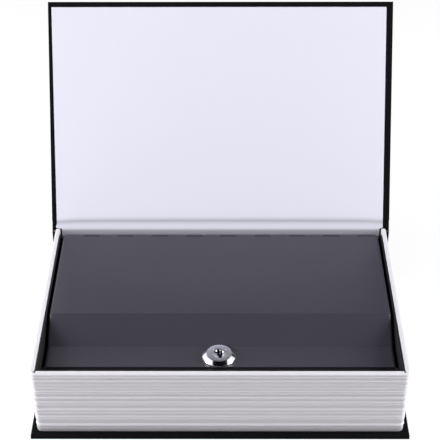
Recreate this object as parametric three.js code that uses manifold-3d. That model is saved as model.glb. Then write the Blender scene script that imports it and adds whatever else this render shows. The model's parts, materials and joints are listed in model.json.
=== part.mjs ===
// Book diversion safe: a hardcover case round a ribbed page block, with a lockable steel box inside.
// Millimetres. X runs head to tail, Y from the fore edge to the spine, Z up.
// The origin is the middle of the back cover's underside. The front cover stands open.

import * as THREE from 'three';
import { mergeVertices } from 'three/addons/utils/BufferGeometryUtils.js';
import Module from 'manifold-3d';

const wasm = await Module();
wasm.setup();

// Hardcover case
const coverWidth = 240;
const closedDepth = 160;
const clothThickness = 0.3;
const boardThickness = 1.9;
const paperThickness = 0.2;
const layerGap = 0.15;
const turnInWidth = 12;
const jointWidth = 5;
const hingeInset = 1.5;
const spineTopDrop = 2.1;
const openAngle = THREE.MathUtils.degToRad(116.9);

// Endpapers
const endpaperWidth = 232.8;
const endpaperOffset = -0.8;
const endpaperForeMargin = 3.6;
const endpaperTuck = 7;
const endpaperTuckGap = 0.8;
const paperHingeGap = 1.15;

// Page block
const pageBlockWidth = 232.3;
const pageBlockHeight = 48.9;
const foreSquare = 3.6;
const frameWall = 2;
const frameCornerRadius = 3.5;
const ribCount = 24;
const ribGrooveHeight = 0.6;
const ribGrooveDepth = 0.35;
const cornerReliefRadius = 0.9;
const cornerReliefDepth = 3;
const closingGap = 0.3;

// Steel box
const sheet = 0.8;
const boxClearance = 0.25;
const boxSpineGap = 5.3;
const wallDrop = 0.6;
const lipDepth = 18.85;
const lipOverlap = 1.2;
const hemDepth = 10.2;

// Lid
const lidSideGap = 1.7;
const lidDrop = 0.8;
const lidSlope = 20;
const ledgeDrop = 10.8;
const lidSeatGap = 0.3;
const flangeDepth = 5.6;
const flangeRearSetback = 5;
const flangeLipSetback = 1.6;

// Lid hinge
const pinRadius = 0.8;
const boreClearance = 0.15;
const slotCount = 9;
const slotWidth = 13.3;
const firstSlotOffset = 19.8;
const lastSlotOffset = 8.6;
const knuckleGap = 0.5;
const knuckleClearance = 0.3;
const pinEndInset = 0.6;

// Lock
const lockOffset = -0.6;
const plugRadius = 5.1;
const plugClearance = 0.25;
const barrelWall = 1.05;
const barrelLength = 11.5;
const holeClearance = 0.15;
const bezelBrim = 3.9;
const bezelOverhang = 1;
const bezelFootGap = 0.1;
const bezelSide = 0.6;
const bezelConeHeight = 2;
const bezelFaceRadius = 7.4;
const plugRecess = 0.2;
const dimpleRadius = 3.1;
const dimpleDepth = 0.4;
const keywayLength = 8.8;
const keywayWidth = 1.5;
const keywayRoundRadius = 1.3;
const keywayFloor = 0.5;
const washerThickness = 0.6;
const washerWidth = 1;
const nutWall = 1.1;
const nutHeight = 2.5;
const nutSides = 6;

// Cam and its screw
const camThickness = 1.6;
const camReach = 15;
const camTipRadius = 3.6;
const camHubRadius = 5;
const camRunGap = 0.5;
const plugProud = 0.3;
const bossSize = 5.6;
const bossHeight = 1.4;
const bossClearance = 0.15;
const screwShankRadius = 1.4;
const screwShankLength = 3.2;
const screwHeadRadius = 2.8;
const screwHeadHeight = 1.8;
const screwSlotWidth = 0.7;
const screwSlotDepth = 0.8;
const screwBoreClearance = 0.15;
const camWasherRadius = 3.9;
const camWasherThickness = 0.6;

// Wafers and their springs
const waferCount = 5;
const waferPitch = 1.8;
const waferThickness = 0.8;
const waferWidth = 4.8;
const waferInset = 0.2;
const waferTravel = 0.9;
const waferClearance = 0.12;
const waferWindowRim = 1;
const waferWindowClearance = 0.15;
const lowestWaferRise = 0.3;
const lugReach = 0.9;
const lugLength = 0.8;
const lugOffset = 1.8;
const springRadius = 0.4;
const springLength = 3.4;

// Cuts and round parts
const overrun = 1;
const fineSegments = 36;
const smallSegments = 18;
const cornerSegments = 3;
const bendSteps = 8;

// Heights of the layers, from the table up
const halfCover = coverWidth / 2;
const halfDepth = closedDepth / 2;
const backBoardTop = clothThickness + boardThickness;
const backTurnInTop = backBoardTop + clothThickness;
const blockBottom = backTurnInTop + paperThickness;
const rimTop = blockBottom + pageBlockHeight;
const hingeY = halfDepth - hingeInset;
const hingeZ = rimTop + closingGap;
const spineBoardBack = halfDepth - clothThickness;
const spineBoardFront = spineBoardBack - boardThickness;
const spineTop = rimTop - spineTopDrop;
const boardRear = hingeY - jointWidth;

// Page frame outline
const halfBlock = pageBlockWidth / 2;
const frameFront = -halfDepth + foreSquare;
const frameInnerFront = frameFront + frameWall;
const frameInnerSide = halfBlock - frameWall;

// Steel box outline
const boxHalf = frameInnerSide - boxClearance;
const boxFront = frameInnerFront + boxClearance;
const boxRear = spineBoardFront - boxSpineGap;
const boxFloorTop = blockBottom + sheet;
const wallTop = rimTop - wallDrop;

// Lid hinge axis
const knuckleRadius = pinRadius + sheet;
const lidTop = rimTop - lidDrop;
const axisY = boxRear - knuckleRadius;
const axisZ = lidTop - knuckleRadius;
const lidHalf = boxHalf - sheet - lidSideGap;
const panelRear = axisY - knuckleRadius - knuckleClearance;
const firstSlotX = -lidHalf + firstSlotOffset;
const slotPitch = (lidHalf - lastSlotOffset - firstSlotX) / (slotCount - 1);

// Lock rings, from the plug outwards
const boreRadius = plugRadius + plugClearance;
const barrelRadius = boreRadius + barrelWall;
const bezelRadius = barrelRadius + bezelBrim;
const ledgeLength = 2 * bezelRadius - bezelOverhang + bezelFootGap;

// Lid profile, from the box's front lip back
const lipRear = boxFront + lipDepth;
const ledgeFront = lipRear - lipOverlap;
const footY = ledgeFront + ledgeLength;
const foldY = footY + lidSlope;
const ledgeTop = lidTop - ledgeDrop;
const ledgeBottom = ledgeTop - sheet;
const lipTop = ledgeBottom - lidSeatGap;
const hemBottom = lipTop - hemDepth;

// Lock heights
const lockY = footY - bezelFootGap - bezelRadius;
const barrelBottom = ledgeTop - barrelLength;
const faceTop = ledgeTop + bezelSide + bezelConeHeight;
const plugTop = faceTop - plugRecess;
const plugBottom = Math.min(barrelBottom - plugProud, hemBottom - camRunGap);
const screwTip = plugBottom + screwShankLength - camThickness;
const keywayBottom = screwTip + keywayFloor;
const waferSlotHeight = waferThickness + 2 * waferClearance;
const firstWaferZ = keywayBottom + lowestWaferRise + waferThickness / 2;
const lastWaferZ = firstWaferZ + (waferCount - 1) * waferPitch;
const waferHalfLength = Math.sqrt(plugRadius ** 2 - (waferWidth / 2) ** 2) - waferInset;

const colours = {
  cloth: { color: 0x141416, roughness: 0.75, metalness: 0 },
  board: { color: 0x9a8f7c, roughness: 0.95, metalness: 0 },
  paper: { color: 0xe6e5f4, roughness: 0.8, metalness: 0 },
  pages: { color: 0xf0eff2, roughness: 0.5, metalness: 0 },
  box: { color: 0x222225, roughness: 0.5, metalness: 0.3 },
  lid: { color: 0x504e58, roughness: 0.5, metalness: 0.3 },
  chrome: { color: 0xd8d8e0, roughness: 0.12, metalness: 1 },
  steel: { color: 0xa9a9ad, roughness: 0.35, metalness: 1 },
  brass: { color: 0xc2a25a, roughness: 0.3, metalness: 1 },
};

function toSolid(geometry) {
  const bare = geometry.clone();
  bare.deleteAttribute('normal');
  bare.deleteAttribute('uv');
  const merged = mergeVertices(bare);
  const vertProperties = new Float32Array(merged.attributes.position.array);
  const triVerts = new Uint32Array(merged.index.array);
  return new wasm.Manifold(new wasm.Mesh({ numProp: 3, vertProperties, triVerts }));
}

function toGeometry(solid) {
  const mesh = solid.getMesh();
  const geometry = new THREE.BufferGeometry();
  geometry.setAttribute('position', new THREE.BufferAttribute(mesh.vertProperties, 3));
  geometry.setIndex(new THREE.BufferAttribute(mesh.triVerts, 1));
  return geometry;
}

function joinAll(solids) {
  return solids.reduce((whole, next) => whole.add(next));
}

function cutAll(solid, cutters) {
  return cutters.length ? solid.subtract(joinAll(cutters)) : solid;
}

// A block between two values along each axis
function block([x0, x1], [y0, y1], [z0, z1]) {
  const geometry = new THREE.BoxGeometry(x1 - x0, y1 - y0, z1 - z0);
  geometry.translate((x0 + x1) / 2, (y0 + y1) / 2, (z0 + z1) / 2);
  return toSolid(geometry);
}

// A solid cylinder standing along Z
function post(x, y, radius, [z0, z1], segments = fineSegments) {
  const geometry = new THREE.CylinderGeometry(radius, radius, z1 - z0, segments);
  geometry.rotateX(Math.PI / 2);
  geometry.translate(x, y, (z0 + z1) / 2);
  return toSolid(geometry);
}

// A solid cylinder lying along X
function bar(y, z, radius, [x0, x1], segments = smallSegments) {
  const geometry = new THREE.CylinderGeometry(radius, radius, x1 - x0, segments);
  geometry.rotateZ(Math.PI / 2);
  geometry.translate((x0 + x1) / 2, y, z);
  return toSolid(geometry);
}

// An outline in Y and Z, extruded along X
function prismAlongX(outline, [x0, x1]) {
  const shape = new THREE.Shape(outline.map(([y, z]) => new THREE.Vector2(y, z)));
  const geometry = new THREE.ExtrudeGeometry(shape, { depth: x1 - x0, bevelEnabled: false });
  const turn = new THREE.Matrix4().makeBasis(
    new THREE.Vector3(0, 1, 0),
    new THREE.Vector3(0, 0, 1),
    new THREE.Vector3(1, 0, 0),
  );
  geometry.applyMatrix4(turn);
  geometry.translate(x0, 0, 0);
  return toSolid(geometry);
}

// A shape in X and Y, extruded up Z
function prismAlongZ(shape, [z0, z1], curveSegments = cornerSegments) {
  const settings = { depth: z1 - z0, bevelEnabled: false, curveSegments };
  const geometry = new THREE.ExtrudeGeometry(shape, settings);
  geometry.translate(0, 0, z0);
  return toSolid(geometry);
}

// A ring turned about a vertical axis from a closed outline of radius and height
function turned(x, y, outline, segments = fineSegments) {
  const area = outline.reduce((sum, [r, z], i) => {
    const [nextR, nextZ] = outline[(i + 1) % outline.length];
    return sum + r * nextZ - nextR * z;
  }, 0);
  const ordered = area > 0 ? outline : [...outline].reverse();
  const points = [...ordered, ordered[0]].map(([r, z]) => new THREE.Vector2(r, z));
  const geometry = new THREE.LatheGeometry(points, segments);
  geometry.rotateX(Math.PI / 2);
  geometry.translate(x, y, 0);
  return toSolid(geometry);
}

// A thin sheet that follows a curve in Y and Z, the same all along X
function ribbonAlongX(centre, thickness, spanX) {
  const points = centre.getPoints(bendSteps);
  const side = (sign) => points.map((point, i) => {
    const tangent = centre.getTangent(i / bendSteps);
    const shift = (sign * thickness) / 2;
    return [point.x - tangent.y * shift, point.y + tangent.x * shift];
  });
  return prismAlongX([...side(-1), ...side(1).reverse()], spanX);
}

// A point of the front cover at rest: how far from the hinge line, and how far behind the endpaper
function onOpenCover(along, behind) {
  const y = hingeY - along * Math.cos(openAngle) + behind * Math.sin(openAngle);
  const z = hingeZ + along * Math.sin(openAngle) + behind * Math.cos(openAngle);
  return new THREE.Vector2(y, z);
}

function mesh(name, solid, look) {
  const geometry = toGeometry(solid);
  const material = new THREE.MeshStandardMaterial({ ...look, flatShading: true });
  const part = new THREE.Mesh(geometry, material);
  part.name = name;
  return part;
}

// Turn-ins: the cloth's edges folded over the inner side of a board, and its wrapped edges
function clothTray({ near, fore, outer, inner }) {
  const [low, high] = [Math.min(outer, inner), Math.max(outer, inner)];
  const sheetSide = outer < inner ? [outer, outer + clothThickness] : [outer - clothThickness, outer];
  const foldSide = outer < inner ? [inner - clothThickness, inner] : [inner, inner + clothThickness];
  const edgeX = halfCover - clothThickness;
  const foldX = halfCover - turnInWidth;
  return joinAll([
    block([-halfCover, halfCover], [fore, near], sheetSide),
    block([-halfCover, halfCover], [fore, fore + clothThickness], [low, high]),
    block([-halfCover, -edgeX], [fore, near], [low, high]),
    block([edgeX, halfCover], [fore, near], [low, high]),
    block([-halfCover, halfCover], [fore, fore + turnInWidth], foldSide),
    block([-halfCover, -foldX], [fore, near], foldSide),
    block([foldX, halfCover], [fore, near], foldSide),
  ]);
}

// Back cover and spine

function backBoard() {
  const edge = halfCover - clothThickness;
  return block([-edge, edge], [-halfDepth + clothThickness, boardRear], [clothThickness, backBoardTop]);
}

function spineBoard() {
  const edge = halfCover - clothThickness;
  return block([-edge, edge], [spineBoardFront, spineBoardBack], [clothThickness, spineTop]);
}

function caseCloth() {
  const edge = halfCover - clothThickness;
  const wrapped = clothTray({
    near: boardRear, fore: -halfDepth, outer: 0, inner: backTurnInTop,
  });
  return joinAll([
    wrapped,
    block([-halfCover, halfCover], [boardRear - turnInWidth, halfDepth], [0, clothThickness]),
    block([-halfCover, halfCover], [spineBoardBack, halfDepth], [0, spineTop]),
    block([-halfCover, -edge], [spineBoardFront, halfDepth], [0, spineTop]),
    block([edge, halfCover], [spineBoardFront, halfDepth], [0, spineTop]),
  ]);
}

function backEndpaper() {
  const fold = halfCover - turnInWidth;
  return block([-halfBlock, halfBlock], [frameFront, boardRear], [backTurnInTop, blockBottom]).add(
    block([-fold, fold], [-halfDepth + turnInWidth, boardRear], [backBoardTop, blockBottom]),
  );
}

// Front cover, drawn closed about its hinge line: its inner face at height 0, its fore edge towards -Y

const coverReach = hingeY + halfDepth;
const frontFoldZ = paperThickness + layerGap;
const frontBoardZ = frontFoldZ + clothThickness + layerGap;
const frontClothZ = frontBoardZ + boardThickness + layerGap;
const coverThickness = frontClothZ + clothThickness;

function frontBoard() {
  const edge = halfCover - clothThickness - layerGap;
  const fore = -coverReach + clothThickness + layerGap;
  return block([-edge, edge], [fore, -jointWidth], [frontBoardZ, frontBoardZ + boardThickness]);
}

function frontCloth() {
  return clothTray({
    near: -jointWidth, fore: -coverReach, outer: coverThickness, inner: frontFoldZ,
  });
}

function frontEndpaper() {
  const half = endpaperWidth / 2;
  const fold = halfCover - turnInWidth - layerGap;
  const foldFore = -coverReach + turnInWidth + layerGap;
  const face = block(
    [endpaperOffset - half, endpaperOffset + half],
    [-coverReach + endpaperForeMargin, -jointWidth],
    [0, paperThickness],
  );
  return face.add(block([-fold, fold], [foldFore, -jointWidth], [0, frontBoardZ - layerGap]));
}

// The two flexible strips of the front joint: cloth outside, paper inside

function jointCloth() {
  const start = new THREE.Vector2(halfDepth - clothThickness / 2, spineTop + closingGap);
  const end = onOpenCover(jointWidth - closingGap, coverThickness - clothThickness / 2);
  const control = new THREE.Vector2(start.x, (start.y + end.y) / 2);
  const curve = new THREE.QuadraticBezierCurve(start, control, end);
  return ribbonAlongX(curve, clothThickness, [-halfCover, halfCover]);
}

function endpaperHinge() {
  const half = frameInnerSide - paperHingeGap;
  const tuckedY = spineBoardFront - endpaperTuckGap - paperThickness / 2;
  const start = new THREE.Vector2(tuckedY, rimTop - endpaperTuck);
  const end = onOpenCover(jointWidth - closingGap, paperThickness / 2);
  const control = new THREE.Vector2(tuckedY, hingeZ);
  const curve = new THREE.QuadraticBezierCurve(start, control, end);
  return ribbonAlongX(curve, paperThickness, [-half, half]);
}

// Page block: three ribbed walls round the steel box, open at the spine

function frameOutline(inset, rear) {
  const side = halfBlock - inset;
  const front = frameFront + inset;
  const radius = frameCornerRadius - inset;
  const shape = new THREE.Shape();
  shape.moveTo(-side, rear);
  shape.lineTo(-side, front + radius);
  shape.absarc(-side + radius, front + radius, radius, Math.PI, 1.5 * Math.PI, false);
  shape.lineTo(side - radius, front);
  shape.absarc(side - radius, front + radius, radius, 1.5 * Math.PI, 2 * Math.PI, false);
  shape.lineTo(side, rear);
  return shape;
}

function pageFrame() {
  const heights = [blockBottom, rimTop];
  const pastRear = spineBoardFront + overrun;
  const outside = prismAlongZ(frameOutline(0, spineBoardFront), heights);
  const hollow = block(
    [-frameInnerSide, frameInnerSide],
    [frameInnerFront, pastRear],
    [blockBottom - overrun, rimTop + overrun],
  );
  const ribPitch = pageBlockHeight / ribCount;
  const core = prismAlongZ(
    frameOutline(ribGrooveDepth, pastRear + overrun),
    [-overrun, ribGrooveHeight + overrun],
  );
  const around = block(
    [-halfBlock - overrun, halfBlock + overrun],
    [frameFront - overrun, pastRear],
    [0, ribGrooveHeight],
  );
  const groove = around.subtract(core);
  const grooves = [];
  for (let i = 1; i < ribCount; i += 1) {
    grooves.push(groove.translate([0, 0, blockBottom + i * ribPitch - ribGrooveHeight / 2]));
  }
  const reliefs = [-1, 1].map((side) => post(
    side * frameInnerSide,
    frameInnerFront,
    cornerReliefRadius,
    [rimTop - cornerReliefDepth, rimTop + overrun],
    smallSegments,
  ));
  return cutAll(outside, [hollow, ...grooves, ...reliefs]);
}

// Lid hinge: slots in the lid's rear edge take the box's knuckles

function slotCentres() {
  return Array.from({ length: slotCount }, (_, i) => firstSlotX + i * slotPitch);
}

function boxKnuckles() {
  const half = slotWidth / 2 - knuckleGap;
  return slotCentres().map((x) => {
    const span = [x - half, x + half];
    const roll = bar(axisY, axisZ, knuckleRadius, span);
    return roll.add(block(span, [boxRear - sheet, boxRear], [blockBottom, axisZ]));
  });
}

function pinBore() {
  return bar(axisY, axisZ, pinRadius + boreClearance, [-boxHalf - overrun, boxHalf + overrun]);
}

function hingePin() {
  const half = boxHalf - sheet - pinEndInset;
  return bar(axisY, axisZ, pinRadius, [-half, half]);
}

// Steel box: a folded tray whose front wall turns in as a lip with a hem that the cam hooks under

function steelBox() {
  const across = [-boxHalf, boxHalf];
  const rearTop = axisZ - knuckleRadius - knuckleClearance;
  const inner = boxHalf - sheet;
  const folded = [
    block(across, [boxFront, boxRear], [blockBottom, boxFloorTop]),
    block(across, [boxFront, boxFront + sheet], [blockBottom, lipTop]),
    block(across, [boxFront, lipRear], [lipTop - sheet, lipTop]),
    block(across, [lipRear - sheet, lipRear], [hemBottom, lipTop]),
    block(across, [boxRear - sheet, boxRear], [blockBottom, rearTop]),
    block([-boxHalf, -inner], [boxFront, boxRear], [blockBottom, wallTop]),
    block([inner, boxHalf], [boxFront, boxRear], [blockBottom, wallTop]),
  ];
  const bored = joinAll(boxKnuckles()).subtract(pinBore());
  return joinAll(folded).add(bored);
}

// Lid: a flat panel, a slope and a sunk ledge for the lock, with both sides turned down

function lidProfile(depth, front) {
  const slope = Math.atan2(ledgeDrop, lidSlope);
  const mitre = sheet * Math.tan(slope / 2);
  const lean = depth > sheet ? 0 : mitre;
  return [
    [panelRear, lidTop],
    [foldY, lidTop],
    [footY, ledgeTop],
    [front, ledgeTop],
    [front, ledgeTop - depth],
    [footY + lean, ledgeTop - depth],
    [foldY + lean, lidTop - depth],
    [panelRear, lidTop - depth],
  ];
}

function lidTabs() {
  const half = slotWidth / 2;
  const centres = slotCentres();
  const starts = [-lidHalf, ...centres.map((x) => x + half)];
  const ends = [...centres.map((x) => x - half), lidHalf];
  return starts.map((start, i) => {
    const span = [start, ends[i]];
    const plate = block(span, [panelRear - sheet, axisY], [lidTop - sheet, lidTop]);
    return plate.add(bar(axisY, axisZ, knuckleRadius, span));
  });
}

function lidPanel() {
  const across = [-lidHalf, lidHalf];
  const flangeFront = lipRear + flangeLipSetback;
  const flanges = [[-lidHalf, -lidHalf + sheet], [lidHalf - sheet, lidHalf]].map((span) => {
    const rearEnd = block(
      span,
      [panelRear - flangeRearSetback, panelRear + overrun],
      [lidTop - flangeDepth - overrun, lidTop - sheet],
    );
    return prismAlongX(lidProfile(flangeDepth, flangeFront), span).subtract(rearEnd);
  });
  const skin = prismAlongX(lidProfile(sheet, ledgeFront), across);
  const lockHole = post(
    lockOffset,
    lockY,
    barrelRadius + holeClearance,
    [ledgeBottom - overrun, ledgeTop + overrun],
  );
  return joinAll([skin, ...flanges, ...lidTabs()]).subtract(lockHole).subtract(pinBore());
}

// Lock: a chromed housing through the ledge, held by a washer and a hexagon nut underneath

function lockHousing() {
  const ring = turned(lockOffset, lockY, [
    [boreRadius, barrelBottom],
    [barrelRadius, barrelBottom],
    [barrelRadius, ledgeTop],
    [bezelRadius, ledgeTop],
    [bezelRadius, ledgeTop + bezelSide],
    [bezelFaceRadius, faceTop],
    [boreRadius, faceTop],
  ]);
  const half = waferWidth / 2 + waferInset;
  const reach = waferHalfLength + waferTravel + waferInset;
  const heights = [firstWaferZ - waferSlotHeight, lastWaferZ + waferSlotHeight];
  const grooves = [
    block([lockOffset - half, lockOffset + half], [lockY, lockY + reach], heights),
    block([lockOffset, lockOffset + reach], [lockY - half, lockY + half], heights),
  ];
  return cutAll(ring, grooves);
}

function lockWasher() {
  const inner = barrelRadius + holeClearance;
  return turned(lockOffset, lockY, [
    [inner, ledgeBottom - washerThickness],
    [inner + washerWidth, ledgeBottom - washerThickness],
    [inner + washerWidth, ledgeBottom],
    [inner, ledgeBottom],
  ]);
}

function lockNut() {
  const top = ledgeBottom - washerThickness;
  const heights = [top - nutHeight, top];
  const cornerRadius = (barrelRadius + nutWall) / Math.cos(Math.PI / nutSides);
  const outline = new THREE.Shape();
  for (let i = 0; i < nutSides; i += 1) {
    const angle = (i * 2 * Math.PI) / nutSides;
    const x = lockOffset + cornerRadius * Math.cos(angle);
    const y = lockY + cornerRadius * Math.sin(angle);
    if (i === 0) outline.moveTo(x, y);
    else outline.lineTo(x, y);
  }
  const bore = post(
    lockOffset,
    lockY,
    barrelRadius + holeClearance,
    [heights[0] - overrun, heights[1] + overrun],
  );
  return prismAlongZ(outline, heights).subtract(bore);
}

// Plug: keyway from the top, cross slots for the wafers, and a square boss for the cam

function waferHeights() {
  return Array.from({ length: waferCount }, (_, i) => firstWaferZ + i * waferPitch);
}

const lugX = lockOffset - waferWidth / 2 - lugReach;
const lugY = lockY + lugOffset - lugLength;

function springPocket(z) {
  const floor = lugY - springLength - waferClearance;
  const ceiling = lugY + lugLength + waferTravel + waferClearance;
  const rise = Math.max(springRadius, waferThickness / 2) + waferClearance;
  return block([lugX - waferClearance, lockOffset], [floor, ceiling], [z - rise, z + rise]);
}

function lockPlug() {
  const body = post(lockOffset, lockY, plugRadius, [plugBottom, plugTop]);
  const halfBoss = bossSize / 2;
  const boss = block(
    [lockOffset - halfBoss, lockOffset + halfBoss],
    [lockY - halfBoss, lockY + halfBoss],
    [plugBottom - bossHeight, plugBottom],
  );
  const screwBore = post(
    lockOffset,
    lockY,
    screwShankRadius + screwBoreClearance,
    [plugBottom - bossHeight - overrun, screwTip + screwBoreClearance],
    smallSegments,
  );
  const keyHeights = [keywayBottom, plugTop + overrun];
  const slotHalf = keywayLength / 2;
  const keySlot = block(
    [lockOffset - keywayWidth / 2, lockOffset + keywayWidth / 2],
    [lockY - slotHalf, lockY + slotHalf],
    keyHeights,
  );
  const keyRound = post(
    lockOffset,
    lockY - slotHalf + keywayRoundRadius,
    keywayRoundRadius,
    keyHeights,
    smallSegments,
  );
  const dimple = post(lockOffset, lockY, dimpleRadius, [plugTop - dimpleDepth, plugTop + overrun]);
  const half = waferWidth / 2 + waferClearance;
  const slots = waferHeights().map((z) => block(
    [lockOffset - half, lockOffset + half],
    [lockY - plugRadius - overrun, lockY + plugRadius + overrun],
    [z - waferSlotHeight / 2, z + waferSlotHeight / 2],
  ));
  const pockets = waferHeights().map(springPocket);
  return cutAll(body.add(boss), [screwBore, keySlot, keyRound, dimple, ...slots, ...pockets]);
}

function wafer(z) {
  const half = waferWidth / 2;
  const heights = [z - waferThickness / 2, z + waferThickness / 2];
  const plate = block(
    [lockOffset - half, lockOffset + half],
    [lockY - waferHalfLength, lockY + waferHalfLength],
    heights,
  );
  const lug = block([lugX, lockOffset - half + waferClearance], [lugY, lugY + lugLength], heights);
  const windowHalf = keywayWidth / 2 + waferWindowClearance;
  const keyWindow = block(
    [lockOffset - windowHalf, lockOffset + windowHalf],
    [lockY - waferHalfLength + waferWindowRim, lockY + waferHalfLength - waferWindowRim],
    [heights[0] - overrun, heights[1] + overrun],
  );
  return plate.add(lug).subtract(keyWindow);
}

function waferSpring(z) {
  const geometry = new THREE.CylinderGeometry(
    springRadius,
    springRadius,
    springLength - waferClearance,
    smallSegments,
  );
  const x = lugX + lugReach / 2;
  geometry.translate(x, lugY - waferClearance - (springLength - waferClearance) / 2, z);
  return toSolid(geometry);
}

// Cam, its washer and screw

function lockCam() {
  const top = plugBottom;
  const bottom = top - camThickness;
  const outline = new THREE.Shape();
  outline.moveTo(lockOffset, lockY - camHubRadius);
  outline.lineTo(lockOffset + camReach - camTipRadius, lockY - camTipRadius);
  outline.absarc(
    lockOffset + camReach - camTipRadius,
    lockY,
    camTipRadius,
    -Math.PI / 2,
    Math.PI / 2,
    false,
  );
  outline.lineTo(lockOffset, lockY + camHubRadius);
  outline.absarc(lockOffset, lockY, camHubRadius, Math.PI / 2, 1.5 * Math.PI, false);
  const half = bossSize / 2 + bossClearance;
  const hole = block(
    [lockOffset - half, lockOffset + half],
    [lockY - half, lockY + half],
    [bottom - overrun, top + overrun],
  );
  return prismAlongZ(outline, [bottom, top], 2 * cornerSegments).subtract(hole);
}

function camWasher() {
  const top = plugBottom - camThickness;
  const inner = screwShankRadius + screwBoreClearance;
  return turned(lockOffset, lockY, [
    [inner, top - camWasherThickness],
    [camWasherRadius, top - camWasherThickness],
    [camWasherRadius, top],
    [inner, top],
  ], smallSegments);
}

function camScrew() {
  const headTop = plugBottom - camThickness - camWasherThickness;
  const head = post(lockOffset, lockY, screwHeadRadius, [headTop - screwHeadHeight, headTop]);
  const shank = post(lockOffset, lockY, screwShankRadius, [headTop - screwSlotDepth, screwTip]);
  const slot = block(
    [lockOffset - screwHeadRadius - overrun, lockOffset + screwHeadRadius + overrun],
    [lockY - screwSlotWidth / 2, lockY + screwSlotWidth / 2],
    [headTop - screwHeadHeight - overrun, headTop - screwHeadHeight + screwSlotDepth],
  );
  return head.add(shank).subtract(slot);
}

// Assembly

const book = new THREE.Group();
book.name = 'book_diversion_safe';

book.add(
  mesh('back_board', backBoard(), colours.board),
  mesh('spine_board', spineBoard(), colours.board),
  mesh('case_cloth', caseCloth(), colours.cloth),
  mesh('back_endpaper', backEndpaper(), colours.paper),
  mesh('joint_cloth', jointCloth(), colours.cloth),
  mesh('endpaper_hinge', endpaperHinge(), colours.paper),
  mesh('page_frame', pageFrame(), colours.pages),
  mesh('steel_box', steelBox(), colours.box),
  mesh('hinge_pin', hingePin(), colours.steel),
);

const frontCover = new THREE.Group();
frontCover.position.set(0, hingeY, hingeZ);
frontCover.rotation.x = -openAngle;
frontCover.add(
  mesh('front_board', frontBoard(), colours.board),
  mesh('front_cloth', frontCloth(), colours.cloth),
  mesh('front_endpaper', frontEndpaper(), colours.paper),
);
book.add(frontCover);

const lid = new THREE.Group();
lid.add(
  mesh('lid_panel', lidPanel(), colours.lid),
  mesh('lock_housing', lockHousing(), colours.chrome),
  mesh('lock_washer', lockWasher(), colours.steel),
  mesh('lock_nut', lockNut(), colours.steel),
);
book.add(lid);

const plug = new THREE.Group();
plug.add(
  mesh('lock_plug', lockPlug(), colours.chrome),
  mesh('lock_cam', lockCam(), colours.steel),
  mesh('cam_washer', camWasher(), colours.steel),
  mesh('cam_screw', camScrew(), colours.steel),
);
waferHeights().forEach((z, i) => {
  plug.add(mesh(`wafer_${i + 1}`, wafer(z), colours.brass));
  plug.add(mesh(`wafer_spring_${i + 1}`, waferSpring(z), colours.steel));
});
lid.add(plug);

export default book;
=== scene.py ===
"""A hollow book with a steel cash box inside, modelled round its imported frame."""

import json
import math

import bmesh
import bpy
from mathutils import Matrix, Vector


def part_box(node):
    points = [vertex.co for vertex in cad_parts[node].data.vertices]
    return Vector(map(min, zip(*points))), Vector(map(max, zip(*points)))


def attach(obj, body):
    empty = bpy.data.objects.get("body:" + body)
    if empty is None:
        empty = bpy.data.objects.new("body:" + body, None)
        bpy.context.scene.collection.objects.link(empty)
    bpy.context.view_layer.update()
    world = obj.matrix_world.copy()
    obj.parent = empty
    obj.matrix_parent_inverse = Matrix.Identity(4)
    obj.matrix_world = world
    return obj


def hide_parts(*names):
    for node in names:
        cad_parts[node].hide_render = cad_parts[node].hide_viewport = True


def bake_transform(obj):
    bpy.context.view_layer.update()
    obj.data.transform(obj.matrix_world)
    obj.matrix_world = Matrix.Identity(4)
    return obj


bl_info = {
    "name": "Book Safe",
    "version": (1, 0, 0),
    "blender": (4, 5, 0),
    "location": "3D View > Sidebar > Book Safe",
    "description": "Builds a hollow book with a locking steel box, piece by piece",
    "category": "Add Mesh",
}

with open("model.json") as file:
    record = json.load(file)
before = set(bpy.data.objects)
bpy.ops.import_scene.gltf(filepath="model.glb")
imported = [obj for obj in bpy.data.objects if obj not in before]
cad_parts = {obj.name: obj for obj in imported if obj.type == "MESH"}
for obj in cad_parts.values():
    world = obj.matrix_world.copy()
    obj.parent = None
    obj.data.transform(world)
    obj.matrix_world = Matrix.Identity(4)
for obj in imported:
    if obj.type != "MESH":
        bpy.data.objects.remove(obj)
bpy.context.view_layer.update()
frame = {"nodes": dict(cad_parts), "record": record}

MM = 0.001
WELD = 0.0001 * MM  # how close to an edge's or a plane's place a vertex is picked
NEAR = 5 * WELD  # how close to a drawn point a vertex is picked
ACROSS = Vector((1, 0, 0))
UP = Vector((0, 0, 1))
KNUCKLE_COUNT = 9
KNUCKLE_GAP = 0.3 * MM  # from the knuckles to the box's rear wall and to the lid's flat plate
ROLL_TURN = 285  # how far knuckles and tabs are rolled round the hinge pin, in degrees
WAFER_COUNT = 5


def joint_place(name):
    """Where a joint of the frame turns."""
    joints = frame["record"]["behaviour"]["joints"]
    return Vector(next(joint["pos_m"] for joint in joints if joint["name"] == name))


def span(node):
    """Lowest and highest corner of a node, as vectors."""
    low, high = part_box(node)
    return Vector(low), Vector(high)


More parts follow.
